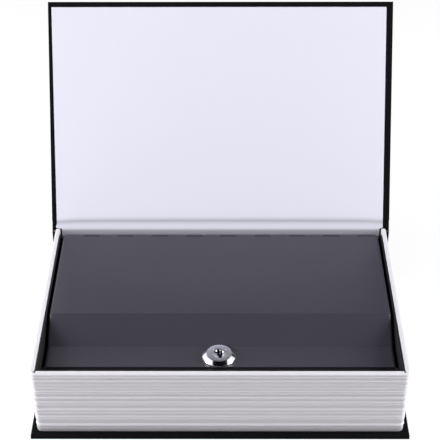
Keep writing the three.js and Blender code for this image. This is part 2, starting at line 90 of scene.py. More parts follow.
CASE_LOW, CASE_HIGH = span("case_cloth")
BOARD_HIGH = span("back_board")[1]
SPINE_LOW = span("spine_board")[0]
BLOCK_LOW, BLOCK_HIGH = span("page_frame")
BOX_LOW, BOX_HIGH = span("steel_box")
PIN_LOW, PIN_HIGH = span("hinge_pin")
LID_LOW, LID_HIGH = span("lid_panel")
PAPER_LOW, PAPER_HIGH = span("front_endpaper")
TUCK_LOW, TUCK_HIGH = span("endpaper_hinge")
HOUSING_LOW, HOUSING_HIGH = span("lock_housing")
PLUG_LOW, PLUG_HIGH = span("lock_plug")
NUT_LOW, NUT_HIGH = span("lock_nut")
WASHER_LOW, WASHER_HIGH = span("lock_washer")
CAM_LOW, CAM_HIGH = span("lock_cam")
CAM_WASHER_LOW, CAM_WASHER_HIGH = span("cam_washer")
SCREW_LOW, SCREW_HIGH = span("cam_screw")
COVER_HINGE = joint_place("cover_hinge")
LID_HINGE = joint_place("lid_hinge")
LOCK_AXIS = joint_place("plug_turn")


# Sizes and colours that a user would change


def length(label, default, text):
    return bpy.props.FloatProperty(
        name=label, description=text, default=default, min=0, unit="LENGTH", precision=5,
    )


def angle(label, default, text):
    return bpy.props.FloatProperty(
        name=label, description=text, default=math.radians(default), subtype="ANGLE",
    )


def share(label, default, text):
    return bpy.props.FloatProperty(
        name=label, description=text, default=default, min=0, max=1, subtype="FACTOR",
    )


def colour(label, default, text):
    return bpy.props.FloatVectorProperty(
        name=label, description=text, default=default, min=0, max=1, subtype="COLOR",
    )


def strength(label, default, text):
    return bpy.props.FloatProperty(name=label, description=text, default=default, min=0)


def power(label, default, text):
    return bpy.props.FloatProperty(
        name=label, description=text, default=default, min=0, unit="POWER",
    )


class CaseSizes(bpy.types.PropertyGroup):
    cloth: length("Cloth thickness", 0.3 * MM, "Thickness of the book cloth")
    turn_in: length("Turn-in", 12 * MM, "How far the cloth is folded over the boards")
    edge_radius: length("Edge radius", 0.5 * MM, "Rounding where the cloth wraps a board")
    joint: length("Joint width", 5 * MM, "From the hinge line to the cover's board")
    cover_thickness: length("Cover thickness", 3.15 * MM, "Front cover with its paper")
    fold_depth: length("Fold depth", 0.35 * MM, "From the cover's inner face to the turn-in")
    hem: length("Hem thickness", 0.75 * MM, "Two layers of cloth in the joints")
    thread_pitch: length("Thread pitch", 0.62 * MM, "Distance between the cloth's threads")
    open_angle: angle("Open angle", 116.9, "How far the front cover stands open in the frame")


class PaperSizes(bpy.types.PropertyGroup):
    paper: length("Paper thickness", 0.2 * MM, "Thickness of the endpaper")
    reach: length("Reach", 154.9 * MM, "From the hinge line to the paper's fore edge")
    groove: length("Groove depth", 0.85 * MM, "How deep the paper sinks into the joint")


class BlockSizes(bpy.types.PropertyGroup):
    wall: length("Wall", 2 * MM, "Thickness of the moulded page walls")
    rim: length("Rim", 3.1 * MM, "Thickness of the walls where they form the rim")
    rim_depth: length("Rim depth", 11.5 * MM, "How far down the walls are as thick as the rim")
    swell: length("Swell", 0.45 * MM, "How far the moulded pages bulge at each side")
    spread: share("Spread", 0.0073, "How much wider the block is at its rim than at its foot")
    corner: length("Corner radius", 3.5 * MM, "Rounding of the page block's corners")
    groove: length("Groove depth", 0.44 * MM, "Depth of the steps between the pages")
    rim_radius: length("Rim radius", 1.3 * MM, "Rounding of the rim's outer edge")
    inner_radius: length("Inner rim radius", 0.25 * MM, "Rounding of the rim's inner edge")
    rear_gap: length("Rear gap", 0.4 * MM, "From the walls' rear ends to the spine board")


class BoxSizes(bpy.types.PropertyGroup):
    sheet: length("Sheet", 0.8 * MM, "Thickness of the sheet steel")
    corner: length("Corner radius", 1.5 * MM, "Rounding of the box's corners and bends")
    bend: length("Bend radius", 0.9 * MM, "Outer radius of the box's bends")
    lip_depth: length("Lip depth", 18.85 * MM, "How far the front lip turns in")
    lip_top: length("Lip height", 38.9 * MM, "Top of the front lip above the table")
    hem: length("Hem", 10.2 * MM, "How far the lip's edge is turned down")
    knuckle: length("Knuckle radius", 1.6 * MM, "Radius of the rolled hinge knuckles")
    first_slot: length("First slot", 19.8 * MM, "From the lid's left edge to its first slot")
    last_slot: length("Last slot", 8.6 * MM, "From the lid's right edge to its last slot")
    slot: length("Slot", 13.3 * MM, "Width of the slots in the lid's rear edge")
    slot_gap: length("Slot gap", 0.5 * MM, "Gap at each end of a knuckle")


class LidSizes(bpy.types.PropertyGroup):
    sheet: length("Sheet", 0.8 * MM, "Thickness of the lid's steel")
    slope: length("Slope", 20 * MM, "Length of the slope, measured flat")
    drop: length("Drop", 10.8 * MM, "From the lid's top down to the ledge")
    ledge: length("Ledge", 19.7 * MM, "Depth of the ledge that carries the lock")
    flange: length("Flange", 5.6 * MM, "Depth of the turned-down sides")
    bend: length("Side bend", 1.8 * MM, "Outer radius of the side bends")
    fold: length("Fold radius", 2.2 * MM, "Radius of the folds along the slope")


class LockSizes(bpy.types.PropertyGroup):
    face_radius: length("Face radius", 8.1 * MM, "Radius of the bezel's flat face")
    bezel_side: length("Bezel side", 1.6 * MM, "Height of the bezel's upright edge")
    proud: length("Proud", 0.8 * MM, "How far the lock stands higher than in the frame")
    barrel: length("Barrel radius", 6.4 * MM, "Radius of the threaded barrel")
    bore: length("Bore radius", 5.22 * MM, "Radius of the housing's bore")
    plug: length("Plug radius", 5.1 * MM, "Radius of the turning plug")
    thread: length("Thread pitch", 1 * MM, "Pitch of the barrel's thread")
    dimple: length("Dimple radius", 3.1 * MM, "Radius of the sunk middle of the plug")


class Finishes(bpy.types.PropertyGroup):
    cloth: colour("Book cloth", (0.0045, 0.0045, 0.0053), "Black linen book cloth")
    paper: colour("Endpaper", (0.74, 0.735, 0.845), "Smooth white endpaper")
    pages: colour("Pages", (0.76, 0.74, 0.785), "White moulded plastic")
    # The box's coat is set near-black, which also paints in the shade on its rim, lip and walls
    box_paint: colour("Box paint", (0.0055, 0.0053, 0.0068), "Powder coat on the box")
    lid_paint: colour("Lid paint", (0.043, 0.040, 0.055), "Powder coat on the lid")
    chrome: colour("Chrome", (0.80, 0.80, 0.88), "Plated lock")
    steel: colour("Plain steel", (0.52, 0.52, 0.54), "Zinc-plated fastenings")
    brass: colour("Brass", (0.2, 0.14, 0.06), "Lock wafers")
    board: colour("Grey board", (0.26, 0.24, 0.20), "Boards inside the covers")


class StageSizes(bpy.types.PropertyGroup):
    sky: strength("Sky", 0.22, "Strength of the even light from all round")
    front_power: power("Front box", 3, "Power of the soft box above the camera, in watts")
    left_power: power("Left box", 14.5, "Power of the left soft box, in watts")
    right_power: power("Right box", 13.2, "Power of the right soft box, in watts")


# Modelling by hand, one step at a time


def put_down():
    """Leaves edit mode with nothing selected."""
    if bpy.context.object and bpy.context.object.mode != "OBJECT":
        bpy.ops.object.mode_set(mode="OBJECT")
    bpy.ops.object.select_all(action="DESELECT")


def take(piece):
    """Makes a piece the only selected one."""
    put_down()
    piece.select_set(True)
    bpy.context.view_layer.objects.active = piece


def open_mesh(piece):
    """Goes into edit mode on a piece."""
    take(piece)
    bpy.ops.object.mode_set(mode="EDIT")
    bpy.ops.mesh.select_mode(type="VERT")


def name_piece(name):
    """Names the new primitive and puts its place and size into its mesh."""
    piece = bpy.context.object
    piece.name = name
    piece.data.name = name
    bpy.ops.object.transform_apply(location=True, rotation=True, scale=True)
    return piece


def add_block(name, low, high):
    """A box between two corners."""
    low, high = Vector(low), Vector(high)
    put_down()
    bpy.ops.mesh.primitive_cube_add(size=1, location=(low + high) / 2, scale=high - low)
    return name_piece(name)


def add_post(name, place, radius, low, high, sides=48, turn=0):
    """An upright cylinder or prism at a place in X and Y, between two heights."""
    put_down()
    bpy.ops.mesh.primitive_cylinder_add(
        vertices=sides, radius=radius, depth=high - low,
        location=(place[0], place[1], (low + high) / 2), rotation=(0, 0, turn),
    )
    return name_piece(name)


def draw_line(name, points):
    """Edges through these places, left in edit mode with all of them selected."""
    put_down()
    bpy.ops.mesh.primitive_plane_add(size=MM)
    piece = name_piece(name)
    open_mesh(piece)
    pick_all()
    bpy.ops.mesh.merge(type="CENTER")
    move(points[0])
    for here, there in zip(points, points[1:]):
        bpy.ops.mesh.extrude_vertices_move(
            TRANSFORM_OT_translate={"value": Vector(there) - Vector(here)},
        )
    pick_all()
    return piece


def pull(offset):
    """Extrudes what is selected."""
    bpy.ops.mesh.extrude_region_move(TRANSFORM_OT_translate={"value": Vector(offset)})


def move(offset):
    """Moves what is selected."""
    bpy.ops.transform.translate(value=Vector(offset))


def pick_all():
    """Selects the whole mesh."""
    bpy.ops.mesh.select_all(action="SELECT")


def pick(piece, kind, test):
    """Selects the vertices, edges or faces whose place passes the test."""
    bpy.ops.mesh.select_all(action="DESELECT")
    bpy.ops.mesh.select_mode(type=kind)
    mesh = bmesh.from_edit_mesh(piece.data)
    if kind == "VERT":
        chosen = [v for v in mesh.verts if test(v.co)]
    elif kind == "EDGE":
        chosen = [e for e in mesh.edges if test(e.verts[0].co) and test(e.verts[1].co)]
    else:
        chosen = [f for f in mesh.faces if test(f.calc_center_median(), f.normal)]
    for item in chosen:
        item.select_set(True)
    mesh.select_flush_mode()
    bmesh.update_edit_mesh(piece.data)


def bevel_sharp(piece, least, width, segments, **settings):
    """Bevels the edges where the surface turns by more than an angle."""
    bpy.ops.mesh.select_all(action="DESELECT")
    bpy.ops.mesh.select_mode(type="EDGE")
    mesh = bmesh.from_edit_mesh(piece.data)
    for edge in mesh.edges:
        if edge.is_manifold and edge.calc_face_angle(0) > math.radians(least):
            edge.select_set(True)
    mesh.select_flush_mode()
    bmesh.update_edit_mesh(piece.data)
    bpy.ops.mesh.bevel(offset=width, segments=segments, affect="EDGES", **settings)


def remove_faces(piece, test):
    """Deletes the faces whose middle and normal pass the test."""
    pick(piece, "FACE", test)
    bpy.ops.mesh.delete(type="FACE")


def slice_at(place, normal):
    """Cuts new edges all over the piece where a plane crosses it."""
    pick_all()
    bpy.ops.mesh.bisect(plane_co=place, plane_no=normal)


def weld(piece):
    """Merges what meets and turns every face outwards."""
    open_mesh(piece)
    pick_all()
    bpy.ops.mesh.remove_doubles(threshold=10 * WELD)
    bpy.ops.mesh.normals_make_consistent(inside=False)
    put_down()


def face_way(piece, way):
    """Turns an open sheet so that its largest face looks the given way."""
    open_mesh(piece)
    pick_all()
    bpy.ops.mesh.normals_make_consistent(inside=False)
    mesh = bmesh.from_edit_mesh(piece.data)
    largest = max(mesh.faces, key=lambda face: face.calc_area())
    if largest.normal.dot(Vector(way)) < 0:
        bpy.ops.mesh.flip_normals()
    put_down()


def finish_with(piece, kind, **settings):
    """Adds a modifier and applies it."""
    take(piece)
    bpy.ops.object.modifier_add(type=kind)
    modifier = piece.modifiers[-1]
    for key, value in settings.items():
        setattr(modifier, key, value)
    bpy.ops.object.modifier_apply(modifier=modifier.name)


def thicken(piece, thickness):
    """Gives a sheet its thickness, behind its outer face."""
    finish_with(
        piece, "SOLIDIFY", thickness=thickness, offset=-1, use_even_offset=True,
        use_quality_normals=True,
    )


def round_edges(piece, width, segments=2, least=35):
    """Bevels every edge sharper than an angle in degrees."""
    finish_with(
        piece, "BEVEL", width=width, segments=segments, limit_method="ANGLE",
        angle_limit=math.radians(least), use_clamp_overlap=True,
    )


def cut(piece, cutter, operation="DIFFERENCE"):
    """Cuts a tool shape out of a piece, adds it or keeps what both share, and removes the tool."""
    finish_with(piece, "BOOLEAN", object=cutter, operation=operation, solver="EXACT")
    bpy.data.objects.remove(cutter, do_unlink=True)


def smooth(piece, least=32):
    """Shades a piece smooth, apart from edges sharper than an angle in degrees."""
    take(piece)
    bpy.ops.object.shade_smooth_by_angle(angle=math.radians(least))
    put_down()


def bend(start, control, end, steps):
    """Points of a smooth bend from start to end, drawn towards the control point."""
    return [
        start * (1 - t) ** 2 + control * 2 * t * (1 - t) + end * t ** 2
        for t in (step / steps for step in range(steps + 1))
    ]


def soften(points, radius, steps=4):
    """A drawn line with its corners rounded."""
    points = [Vector(point) for point in points]
    soft = [points[0]]
    for before, here, after in zip(points, points[1:], points[2:]):
        back, ahead = before - here, after - here
        half = back.angle(ahead) / 2
        reach = min(radius / math.tan(half), 0.45 * back.length, 0.45 * ahead.length)
        start = here + back.normalized() * reach
        end = here + ahead.normalized() * reach
        soft += bend(start, here, end, steps)
    soft.append(points[-1])
    return soft


def arc(centre, radius, start, end, steps):
    """Points of an arc in a drawing, with angles in degrees."""
    points = []
    for step in range(steps + 1):
        turn = math.radians(start + (end - start) * step / steps)
        points.append((centre[0] + radius * math.cos(turn), centre[1] + radius * math.sin(turn)))
    return points


def turn_round(name, place, outline, steps=64):
    """A ring turned about an upright axis from a closed outline of radius and height."""
    ring = [(place[0] + radius, place[1], height) for radius, height in outline]
    piece = draw_line(name, ring + ring[:1])
    bpy.ops.mesh.spin(
        steps=steps, angle=math.tau, center=(place[0], place[1], 0), axis=UP, dupli=False,
    )
    put_down()
    weld(piece)
    return piece


# Finishes


def new_finish(name, colour, roughness, sockets=None):
    """A material of one colour, for nodes to be added to."""
    material = bpy.data.materials.new(name)
    material.use_nodes = True
    material.diffuse_color = (*colour, 1)
    shader = material.node_tree.nodes["Principled BSDF"]
    shader.inputs["Base Color"].default_value = (*colour, 1)
    shader.inputs["Roughness"].default_value = roughness
    for key, value in (sockets or {}).items():
        shader.inputs[key].default_value = value
    return material


def node(material, kind, sockets=None, **settings):
    """A node with its settings, and its inputs set or linked."""
    tree = material.node_tree
    made = tree.nodes.new("ShaderNode" + kind)
    for key, value in settings.items():
        setattr(made, key, value)
    for key, value in (sockets or {}).items():
        if isinstance(value, bpy.types.NodeSocket):
            tree.links.new(value, made.inputs[key])
        else:
            made.inputs[key].default_value = value
    return made


def to_shader(material, key, socket):
    """Links a socket to the material's own shader."""
    shader = material.node_tree.nodes["Principled BSDF"]
    material.node_tree.links.new(socket, shader.inputs[key])


def place_on(material, scale=(1, 1, 1), uv=False):
    """Coordinates in metres on the piece, stretched by a scale."""
    source = node(material, "TexCoord").outputs["UV" if uv else "Object"]
    return node(material, "Mapping", {"Vector": source, "Scale": scale}).outputs["Vector"]


def noise(material, vector, scale, detail=3, roughness=0.55):
    """The values of a noise at these coordinates."""
    return node(material, "TexNoise", {
        "Vector": vector, "Scale": scale, "Detail": detail, "Roughness": roughness,
    }).outputs["Fac"]


def fit(material, socket, low, high, start=0.3, end=0.7):
    """Stretches a texture's values to a wanted range."""
    return node(material, "MapRange", {
        "Value": socket, "From Min": start, "From Max": end, "To Min": low, "To Max": high,
    }).outputs["Result"]


def maths(material, operation, first, second=0.5):
    """One sum on two values; the sine reads only the first."""
    return node(material, "Math", {0: first, 1: second}, operation=operation).outputs[0]


def added(material, first, first_share, second, second_share):
    """Two patterns added together, each by its share."""
    return maths(
        material, "ADD", maths(material, "MULTIPLY", first, first_share),
        maths(material, "MULTIPLY", second, second_share),
    )


def mix_colours(material, factor, first, second):
    """A Mix node set to colours has its factor, its colours and its result in these sockets."""
    return node(
        material, "Mix", {0: factor, 6: first, 7: second}, data_type="RGBA",
    ).outputs[2]


def tones(colour, *levels):
    """A colour at several levels of brightness."""
    return [(*[min(1, part * level) for part in colour], 1) for level in levels]


def shades_of(material, colour, darkest, lightest, pattern, low=0.3, high=0.7):
    """From the darkest to the lightest shade of a colour, as a pattern goes from low to high."""
    dark, light = tones(colour, darkest, lightest)
    return mix_colours(material, fit(material, pattern, 0, 1, low, high), dark, light)


def bump(material, height, distance, strength=1):
    """Embosses a pattern, with its height in millimetres."""
    made = node(material, "Bump", {
        "Height": height, "Distance": distance * MM, "Strength": strength,
    })
    to_shader(material, "Normal", made.outputs["Normal"])


def book_cloth(finishes):
    """Black linen: over and under threads of uneven thickness."""
    made = new_finish("black_book_cloth", finishes.cloth, 0.9, {"Specular IOR Level": 0.04})
    flat = place_on(made, uv=True)
    parts = node(made, "SeparateXYZ", {"Vector": flat})
    slubs = noise(made, place_on(made, (90, 1400, 1), uv=True), 1, 3)
    ticks = noise(made, place_on(made, (1400, 90, 1), uv=True), 1, 3)
    turns = math.tau / bpy.context.scene.case_sizes.thread_pitch
    drift = maths(made, "MULTIPLY", noise(made, flat, 130, 3), 14)
    warp, weft = [
        maths(made, "SINE", maths(
            made, "ADD", maths(made, "MULTIPLY", parts.outputs[way], turns), drift,
        )) for way in "XY"
    ]
    weave = fit(made, maths(made, "MULTIPLY", warp, weft), 0, 1, -1, 1)
    uneven = added(made, slubs, 0.5, ticks, 0.5)
    height = added(made, weave, 0.5, uneven, 0.9)
    to_shader(made, "Base Color", shades_of(made, finishes.cloth, 0.55, 1.75, height, 0.4, 1))
    to_shader(made, "Roughness", fit(made, height, 0.95, 0.8, 0.4, 1))
    bump(made, height, 0.09, 0.8)
    return made


def paper_finish(finishes):
    """Smooth lavender-white paper, faintly cloudy with fine fibres, with shade painted grey along
    its fold.
    """
    made = new_finish("endpaper", finishes.paper, 0.6, {"Specular IOR Level": 0.35})
    clouds = noise(made, place_on(made, uv=True), 22, 2)
    fibres = noise(made, place_on(made, (2600, 1100, 1), uv=True), 1, 4, 0.65)
    both = added(made, clouds, 0.6, fibres, 0.4)
    clean = shades_of(made, finishes.paper, 0.975, 1.015, both)
    # Painted shade: the paper is mixed towards black by a share kept on each vertex along the fold
    painted_shade = node(made, "Attribute", attribute_name="fold_painted_shade").outputs["Fac"]
    black = tones(finishes.paper, 0)[0]
    to_shader(made, "Base Color", mix_colours(made, painted_shade, clean, black))
    to_shader(made, "Roughness", fit(made, fibres, 0.55, 0.68))
    bump(made, fibres, 0.012, 0.5)
    return made


def page_finish(finishes):
    """White moulded plastic, finely lined like the edges of pages, and painted darker at its foot,
    where the cover board shades the lowest pages.
    """
    made = new_finish("page_plastic", finishes.pages, 0.42, {"Specular IOR Level": 0.4})
    lines = noise(made, place_on(made, (0.12, 0.12, 2300)), 1, 3, 0.6)
    clouds = noise(made, place_on(made, (0.2, 0.2, 420)), 1, 2)
    both = added(made, lines, 0.5, clouds, 0.5)
    clean = shades_of(made, finishes.pages, 0.94, 1.04, both)
    # Painted shade at the foot: the colour is mixed towards near-black below 8.4 mm, most at 3.2 mm
    height = node(made, "SeparateXYZ", {"Vector": place_on(made)}).outputs["Z"]
    foot_shade = fit(made, height, 0.5, 0, 3.2 * MM, 8.4 * MM)
    foot_shade_colour = tones(finishes.pages, 0.02)[0]
    to_shader(made, "Base Color", mix_colours(made, foot_shade, clean, foot_shade_colour))
    to_shader(made, "Roughness", fit(made, lines, 0.36, 0.52))
    bump(made, lines, 0.03, 0.45)
    return made


def powder_coat(name, colour, roughness):
    """Baked powder paint with its fine orange peel."""
    grain = 0.75 * MM
    made = new_finish(name, colour, roughness)
    flat = place_on(made)
    peel = noise(made, flat, 1 / grain, 2, 0.5)
    clouds = noise(made, flat, 9, 3)
    specks = noise(made, flat, 2.6 / grain, 1, 0.5)
    both = added(made, clouds, 0.7, specks, 0.3)
    to_shader(made, "Base Color", shades_of(made, colour, 0.9, 1.1, both))
    to_shader(made, "Roughness", fit(made, specks, roughness - 0.04, roughness + 0.05))
    bump(made, peel, 0.02, 0.5)
    return made


def chrome_plate(finishes):
    """Bright plating with faint polishing marks and smears."""
    made = new_finish("chrome_plate", finishes.chrome, 0.09, {"Metallic": 1})
    smears = noise(made, place_on(made), 160, 4)
    to_shader(made, "Base Color", shades_of(made, finishes.chrome, 0.94, 1.04, smears))
    to_shader(made, "Roughness", fit(made, smears, 0.06, 0.14))
    bump(made, noise(made, place_on(made), 900, 2), 0.004, 0.25)
    return made


def turned_face(finishes):
    """The lock's face, with fine circular turning marks."""
    colour = [part * 0.97 for part in finishes.chrome]
    made = new_finish("turned_chrome", colour, 0.26, {"Metallic": 1})
    centred = node(made, "Mapping", {
        "Vector": node(made, "TexCoord").outputs["Object"],
        "Location": (-LOCK_AXIS.x, -LOCK_AXIS.y, 0),
    }).outputs["Vector"]
    parts = node(made, "SeparateXYZ", {"Vector": centred}).outputs
    flat = node(made, "CombineXYZ", {"X": parts["X"], "Y": parts["Y"]}).outputs["Vector"]
    radius = node(made, "VectorMath", {0: flat}, operation="LENGTH").outputs["Value"]
    rings = node(made, "TexNoise", {
        "W": maths(made, "MULTIPLY", radius, 9000), "Scale": 1, "Detail": 2,
    }, noise_dimensions="1D").outputs["Fac"]
    to_shader(made, "Roughness", fit(made, rings, 0.2, 0.34))
    bump(made, rings, 0.01, 0.5)
    return made


def plain_steel(finishes):
    """Zinc plating: a crystalline mottle over dull metal."""
    made = new_finish("zinc_steel", finishes.steel, 0.38, {"Metallic": 1})
    flat = place_on(made)
    grain = noise(made, flat, 700, 4)
    crystals = node(made, "TexVoronoi", {"Vector": flat, "Scale": 420}).outputs["Distance"]
    both = added(made, grain, 0.7, crystals, 0.3)
    to_shader(made, "Base Color", shades_of(made, finishes.steel, 0.8, 1.12, both))
    to_shader(made, "Roughness", fit(made, grain, 0.28, 0.5))
    bump(made, both, 0.01, 0.4)
    return made


def one_grain(name, colour, roughness, sockets, grain, shades, relief):
    """A finish that one grain shades, roughens and embosses.

    The roughness is its middle, start and end. The grain is the noise's stretch, scale, detail
    and roughness. The shades are the darkest and the lightest share of the colour. The relief is
    the bump's height in millimetres and its strength.
    """
    middle, start, end = roughness
    stretch, *kind = grain
    made = new_finish(name, colour, middle, sockets)
    pattern = noise(made, place_on(made, stretch), *kind)
    to_shader(made, "Base Color", shades_of(made, colour, *shades, pattern))
    to_shader(made, "Roughness", fit(made, pattern, start, end))
    bump(made, pattern, *relief)
    return made


def oiled_steel(finishes):
    """Dark drawn wire under a film of oil."""
    return one_grain(
        "oiled_steel", [part * 0.14 for part in finishes.steel], (0.5, 0.4, 0.6),
        {"Metallic": 0.7}, ((120, 5200, 5200), 1, 3), (0.7, 1.3), (0.008, 0.5),
    )


def wafer_brass(finishes):
    """Stamped brass, lightly scratched along the stroke."""
    return one_grain(
        "wafer_brass", finishes.brass, (0.32, 0.24, 0.44), {"Metallic": 1},
        ((4200, 260, 900), 1, 3), (0.78, 1.12), (0.01, 0.4),
    )


def grey_board(finishes):
    """Pressed grey board, flecked with fibres."""
    return one_grain(
        "grey_board", finishes.board, (0.85, 0.92, 0.78), None,
        ((1, 1, 4), 650, 5, 0.7), (0.7, 1.2), (0.06, 0.6),
    )


def keyway_grease_and_shade(finishes):
    """Dark grease inside the keyway, set near-black so that it also paints in the shade of its
    slots.
    """
    return one_grain(
        "keyway_grease_and_shade", [part * 0.012 for part in finishes.steel], (0.5, 0.4, 0.65),
        {"Specular IOR Level": 0.15}, ((1, 1, 1), 900, 3), (0.5, 1.8), (0.02, 0.5),
    )


FINISH_MAKERS = {
    "cloth": book_cloth,
    "paper": paper_finish,
    "pages": page_finish,
    "box_paint": lambda finishes: powder_coat("box_coat_and_shade", finishes.box_paint, 0.5),
    "lid_paint": lambda finishes: powder_coat("lid_powder_coat", finishes.lid_paint, 0.38),
    "chrome": chrome_plate,
    "turned": turned_face,
    "steel": plain_steel,
    "oiled": oiled_steel,
    "grease_and_shade": keyway_grease_and_shade,
    "brass": wafer_brass,
    "board": grey_board,
}
FINISHES_MADE = {}


def finish_named(name):
    """The finish of that name, made the first time it is asked for."""
    if name not in FINISHES_MADE:
        FINISHES_MADE[name] = FINISH_MAKERS[name](bpy.context.scene.book_finishes)
    return FINISHES_MADE[name]


def set_finish(piece, finish):
    """Leaves a piece or one of the frame's nodes with this finish alone."""
    piece.data.materials.clear()
    piece.data.materials.append(finish_named(finish))


def dress(piece, finish):
    """Gives a piece its finish."""
    set_finish(piece, finish)


def add_finish(piece, finish, test):
    """Gives some faces of a piece a second finish."""
    piece.data.materials.append(finish_named(finish))
    open_mesh(piece)
    pick(piece, "FACE", test)
    piece.active_material_index = len(piece.data.materials) - 1
    bpy.ops.object.material_slot_assign()
    put_down()


def settle(piece, finish, body, node_name, least=32):
    """Finishes a piece and hangs it on its body in place of the frame's node."""
    smooth(piece, least)
    dress(piece, finish)
    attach(piece, body)
    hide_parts(node_name)


# The book's cover and papers


def on_cover(along, behind):
    """A point of the open front cover, in Y and Z.

    It lies so far up the cover from the hinge line, and so far behind the cover's inner face.
    """
    lean = bpy.context.scene.case_sizes.open_angle
    return Vector((
        COVER_HINGE.y - along * math.cos(lean) + behind * math.sin(lean),
        COVER_HINGE.z + along * math.sin(lean) + behind * math.cos(lean),
    ))


def unroll(piece, path):
    """Maps a sheet as if it were laid flat: U across the book and V along its path, in metres."""
    path = [Vector(point) for point in path]
    starts = [0]
    for here, there in zip(path, path[1:]):
        starts.append(starts[-1] + (there - here).length)
    places = []
    for vertex in piece.data.vertices:
        point = vertex.co.yz
        nearest = []
        for start, here, there in zip(starts, path, path[1:]):
            leg = there - here
            reach = max(0, min(leg.length, (point - here).dot(leg.normalized())))
            nearest.append(((point - here - leg.normalized() * reach).length, start + reach))
        off, along = min(nearest, key=lambda place: place[0])
        places.append((vertex.co.x + math.copysign(off, vertex.co.x), along))
    layer = piece.data.uv_layers.new(name="flat")
    for loop in piece.data.loops:
        layer.data[loop.index].uv = places[loop.vertex_index]


def case_paths(sizes):
    """The cloth's outer face and the face of its turn-ins, in Y and Z, from the back to the front.

    Both run from the back board over the sunk joint, up the spine, round the front joint and up the
    front cover.
    """
    hem, radius = sizes.hem, sizes.edge_radius
    top = BOARD_HIGH.z + sizes.cloth
    near, back, spine_top = BOARD_HIGH.y, CASE_HIGH.y, CASE_HIGH.z
    inside = SPINE_LOW.y - sizes.cloth
    spine_end = Vector((back, spine_top))
    # How far the sunk joint's sides reach from the board and from the spine
    board_side, spine_side = 1.6 * MM, 0.9 * MM
    outer = [Vector(point) for point in (
        (near, 0), (near + 0.9 * MM, 0), (near + board_side, 0), (inside - spine_side, 0),
        (back - radius, 0), (back - 0.3 * radius, 0.3 * radius), (back, radius),
        (back, spine_top - 0.5 * MM), spine_end,
    )]
    inner = [Vector(point) for point in (
        (near, top), (near + board_side / 2, top - 0.4 * MM), (near + board_side, hem),
        (inside - spine_side, hem), (inside - 0.3 * MM, hem + 0.35 * MM),
        (inside - 0.1 * MM, 1.6 * MM), (inside, 2.2 * MM), (inside, spine_top - 0.9 * MM),
        (inside + 0.7 * MM, spine_top + 0.35 * MM),
    )]
    cover_near = on_cover(sizes.joint, sizes.cover_thickness)
    control = Vector((back, (spine_top + cover_near.y) / 2))
    joint = bend(spine_end, control, cover_near, 8)
    for before, point, after in zip(joint, joint[1:], joint[2:]):
        ahead = (after - before).normalized()
        outer.append(point)
        inner.append(point + Vector((-ahead.y, ahead.x)) * hem)
    for along in (sizes.joint, COVER_HINGE.y - CASE_LOW.y):
        outer.append(on_cover(along, sizes.cover_thickness))
        inner.append(on_cover(along, sizes.fold_depth))
    return outer, inner


class BOOK_OT_case_cloth(bpy.types.Operator):
    """Wrap one sheet of book cloth round both covers and the spine"""

    bl_idname = "book.case_cloth"
    bl_label = "Case cloth"

    def execute(self, context):
        sizes = context.scene.case_sizes
        half, turn_in = CASE_HIGH.x, sizes.turn_in
        top, near = BOARD_HIGH.z + sizes.cloth, BOARD_HIGH.y
        outer, inner = case_paths(sizes)
        fore, fold_fore = outer[-1], inner[-1]
        back_along = on_cover(0, 0) - on_cover(turn_in, 0)

        # The back cover's cloth, open inside its turn-ins and towards the spine
        piece = add_block("book_cloth", (-half, CASE_LOW.y, 0), (half, near, top))
        open_mesh(piece)
        pick(piece, "FACE", lambda place, normal: normal.z > 0.9)
        bpy.ops.mesh.inset(thickness=turn_in, depth=0)
        bpy.ops.mesh.delete(type="FACE")
        remove_faces(piece, lambda place, normal: place.y > near - turn_in)
        pick(piece, "VERT", lambda co: abs(co.x) < half - WELD and co.z > top - WELD and co.y > 0)
        move((0, turn_in, 0))

        # Its outer face and its turn-ins go on together, each along its own path
        pick(piece, "VERT", lambda co: co.y > near - WELD)
        for here, there, fold_here, fold_there in zip(outer, outer[1:], inner, inner[1:]):
            step, fold_step = there - here, fold_there - fold_here
            pull((0, *step))
            moved = fold_here + step
            pick(piece, "VERT", lambda co: (co.yz - moved).length < NEAR)
            move((0, *(fold_step - step)))
            pick(piece, "VERT", lambda co: min(
                (co.yz - there).length, (co.yz - fold_there).length) < NEAR)

        # The turn-in along the front cover's fore edge
        pick(piece, "VERT", lambda co: abs(co.x) < half - WELD
             and (co.yz - fold_fore).length < NEAR)
        move((0, *back_along))
        pick(piece, "EDGE", lambda co: (co.yz - fore).length < NEAR)
        pull((0, *(fold_fore - fore)))
        pull((0, *back_along))
        bpy.ops.transform.resize(value=((half - turn_in) / half, 1, 1))
        weld(piece)
        open_mesh(piece)
        bevel_sharp(piece, 60, sizes.edge_radius, 3, clamp_overlap=True)
        face_way(piece, (0, 0, -1))
        finish_with(piece, "TRIANGULATE")
        thicken(piece, sizes.cloth)

        back_fore = CASE_LOW.y
        path = [Vector(point) for point in (
            (back_fore + turn_in, top), (back_fore, top), (back_fore, 0),
        )] + outer + [fold_fore, fold_fore + back_along]
        unroll(piece, path)
        smooth(piece)
        dress(piece, "cloth")
        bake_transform(piece)
        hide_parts("case_cloth", "joint_cloth", "front_cloth")
        return {"FINISHED"}


# The front endpaper's line behind the box: back and up from the fold's foot, in millimetres
PAPER_FOLD = ((0, -3), (0, -1.5), (0.08, -1), (0.4, -0.5), (0.9, 0.1), (1.8, 1.15))
# Its groove along the joint: millimetres up the cover, and share of the groove's depth
PAPER_GROOVE = (
    (2.5, 0.35), (3.2, 0.66), (3.8, 0.92), (4.3, 1), (4.7, 0.92), (5.1, 0.74), (5.6, 0.54),
    (6.2, 0.34), (7, 0.16), (8.2, 0.04), (10, 0),
)
# Where its flat part has edges across it, in millimetres up the cover
PAPER_STEPS = (12, 20, 40, 70, 100, 130, 148)
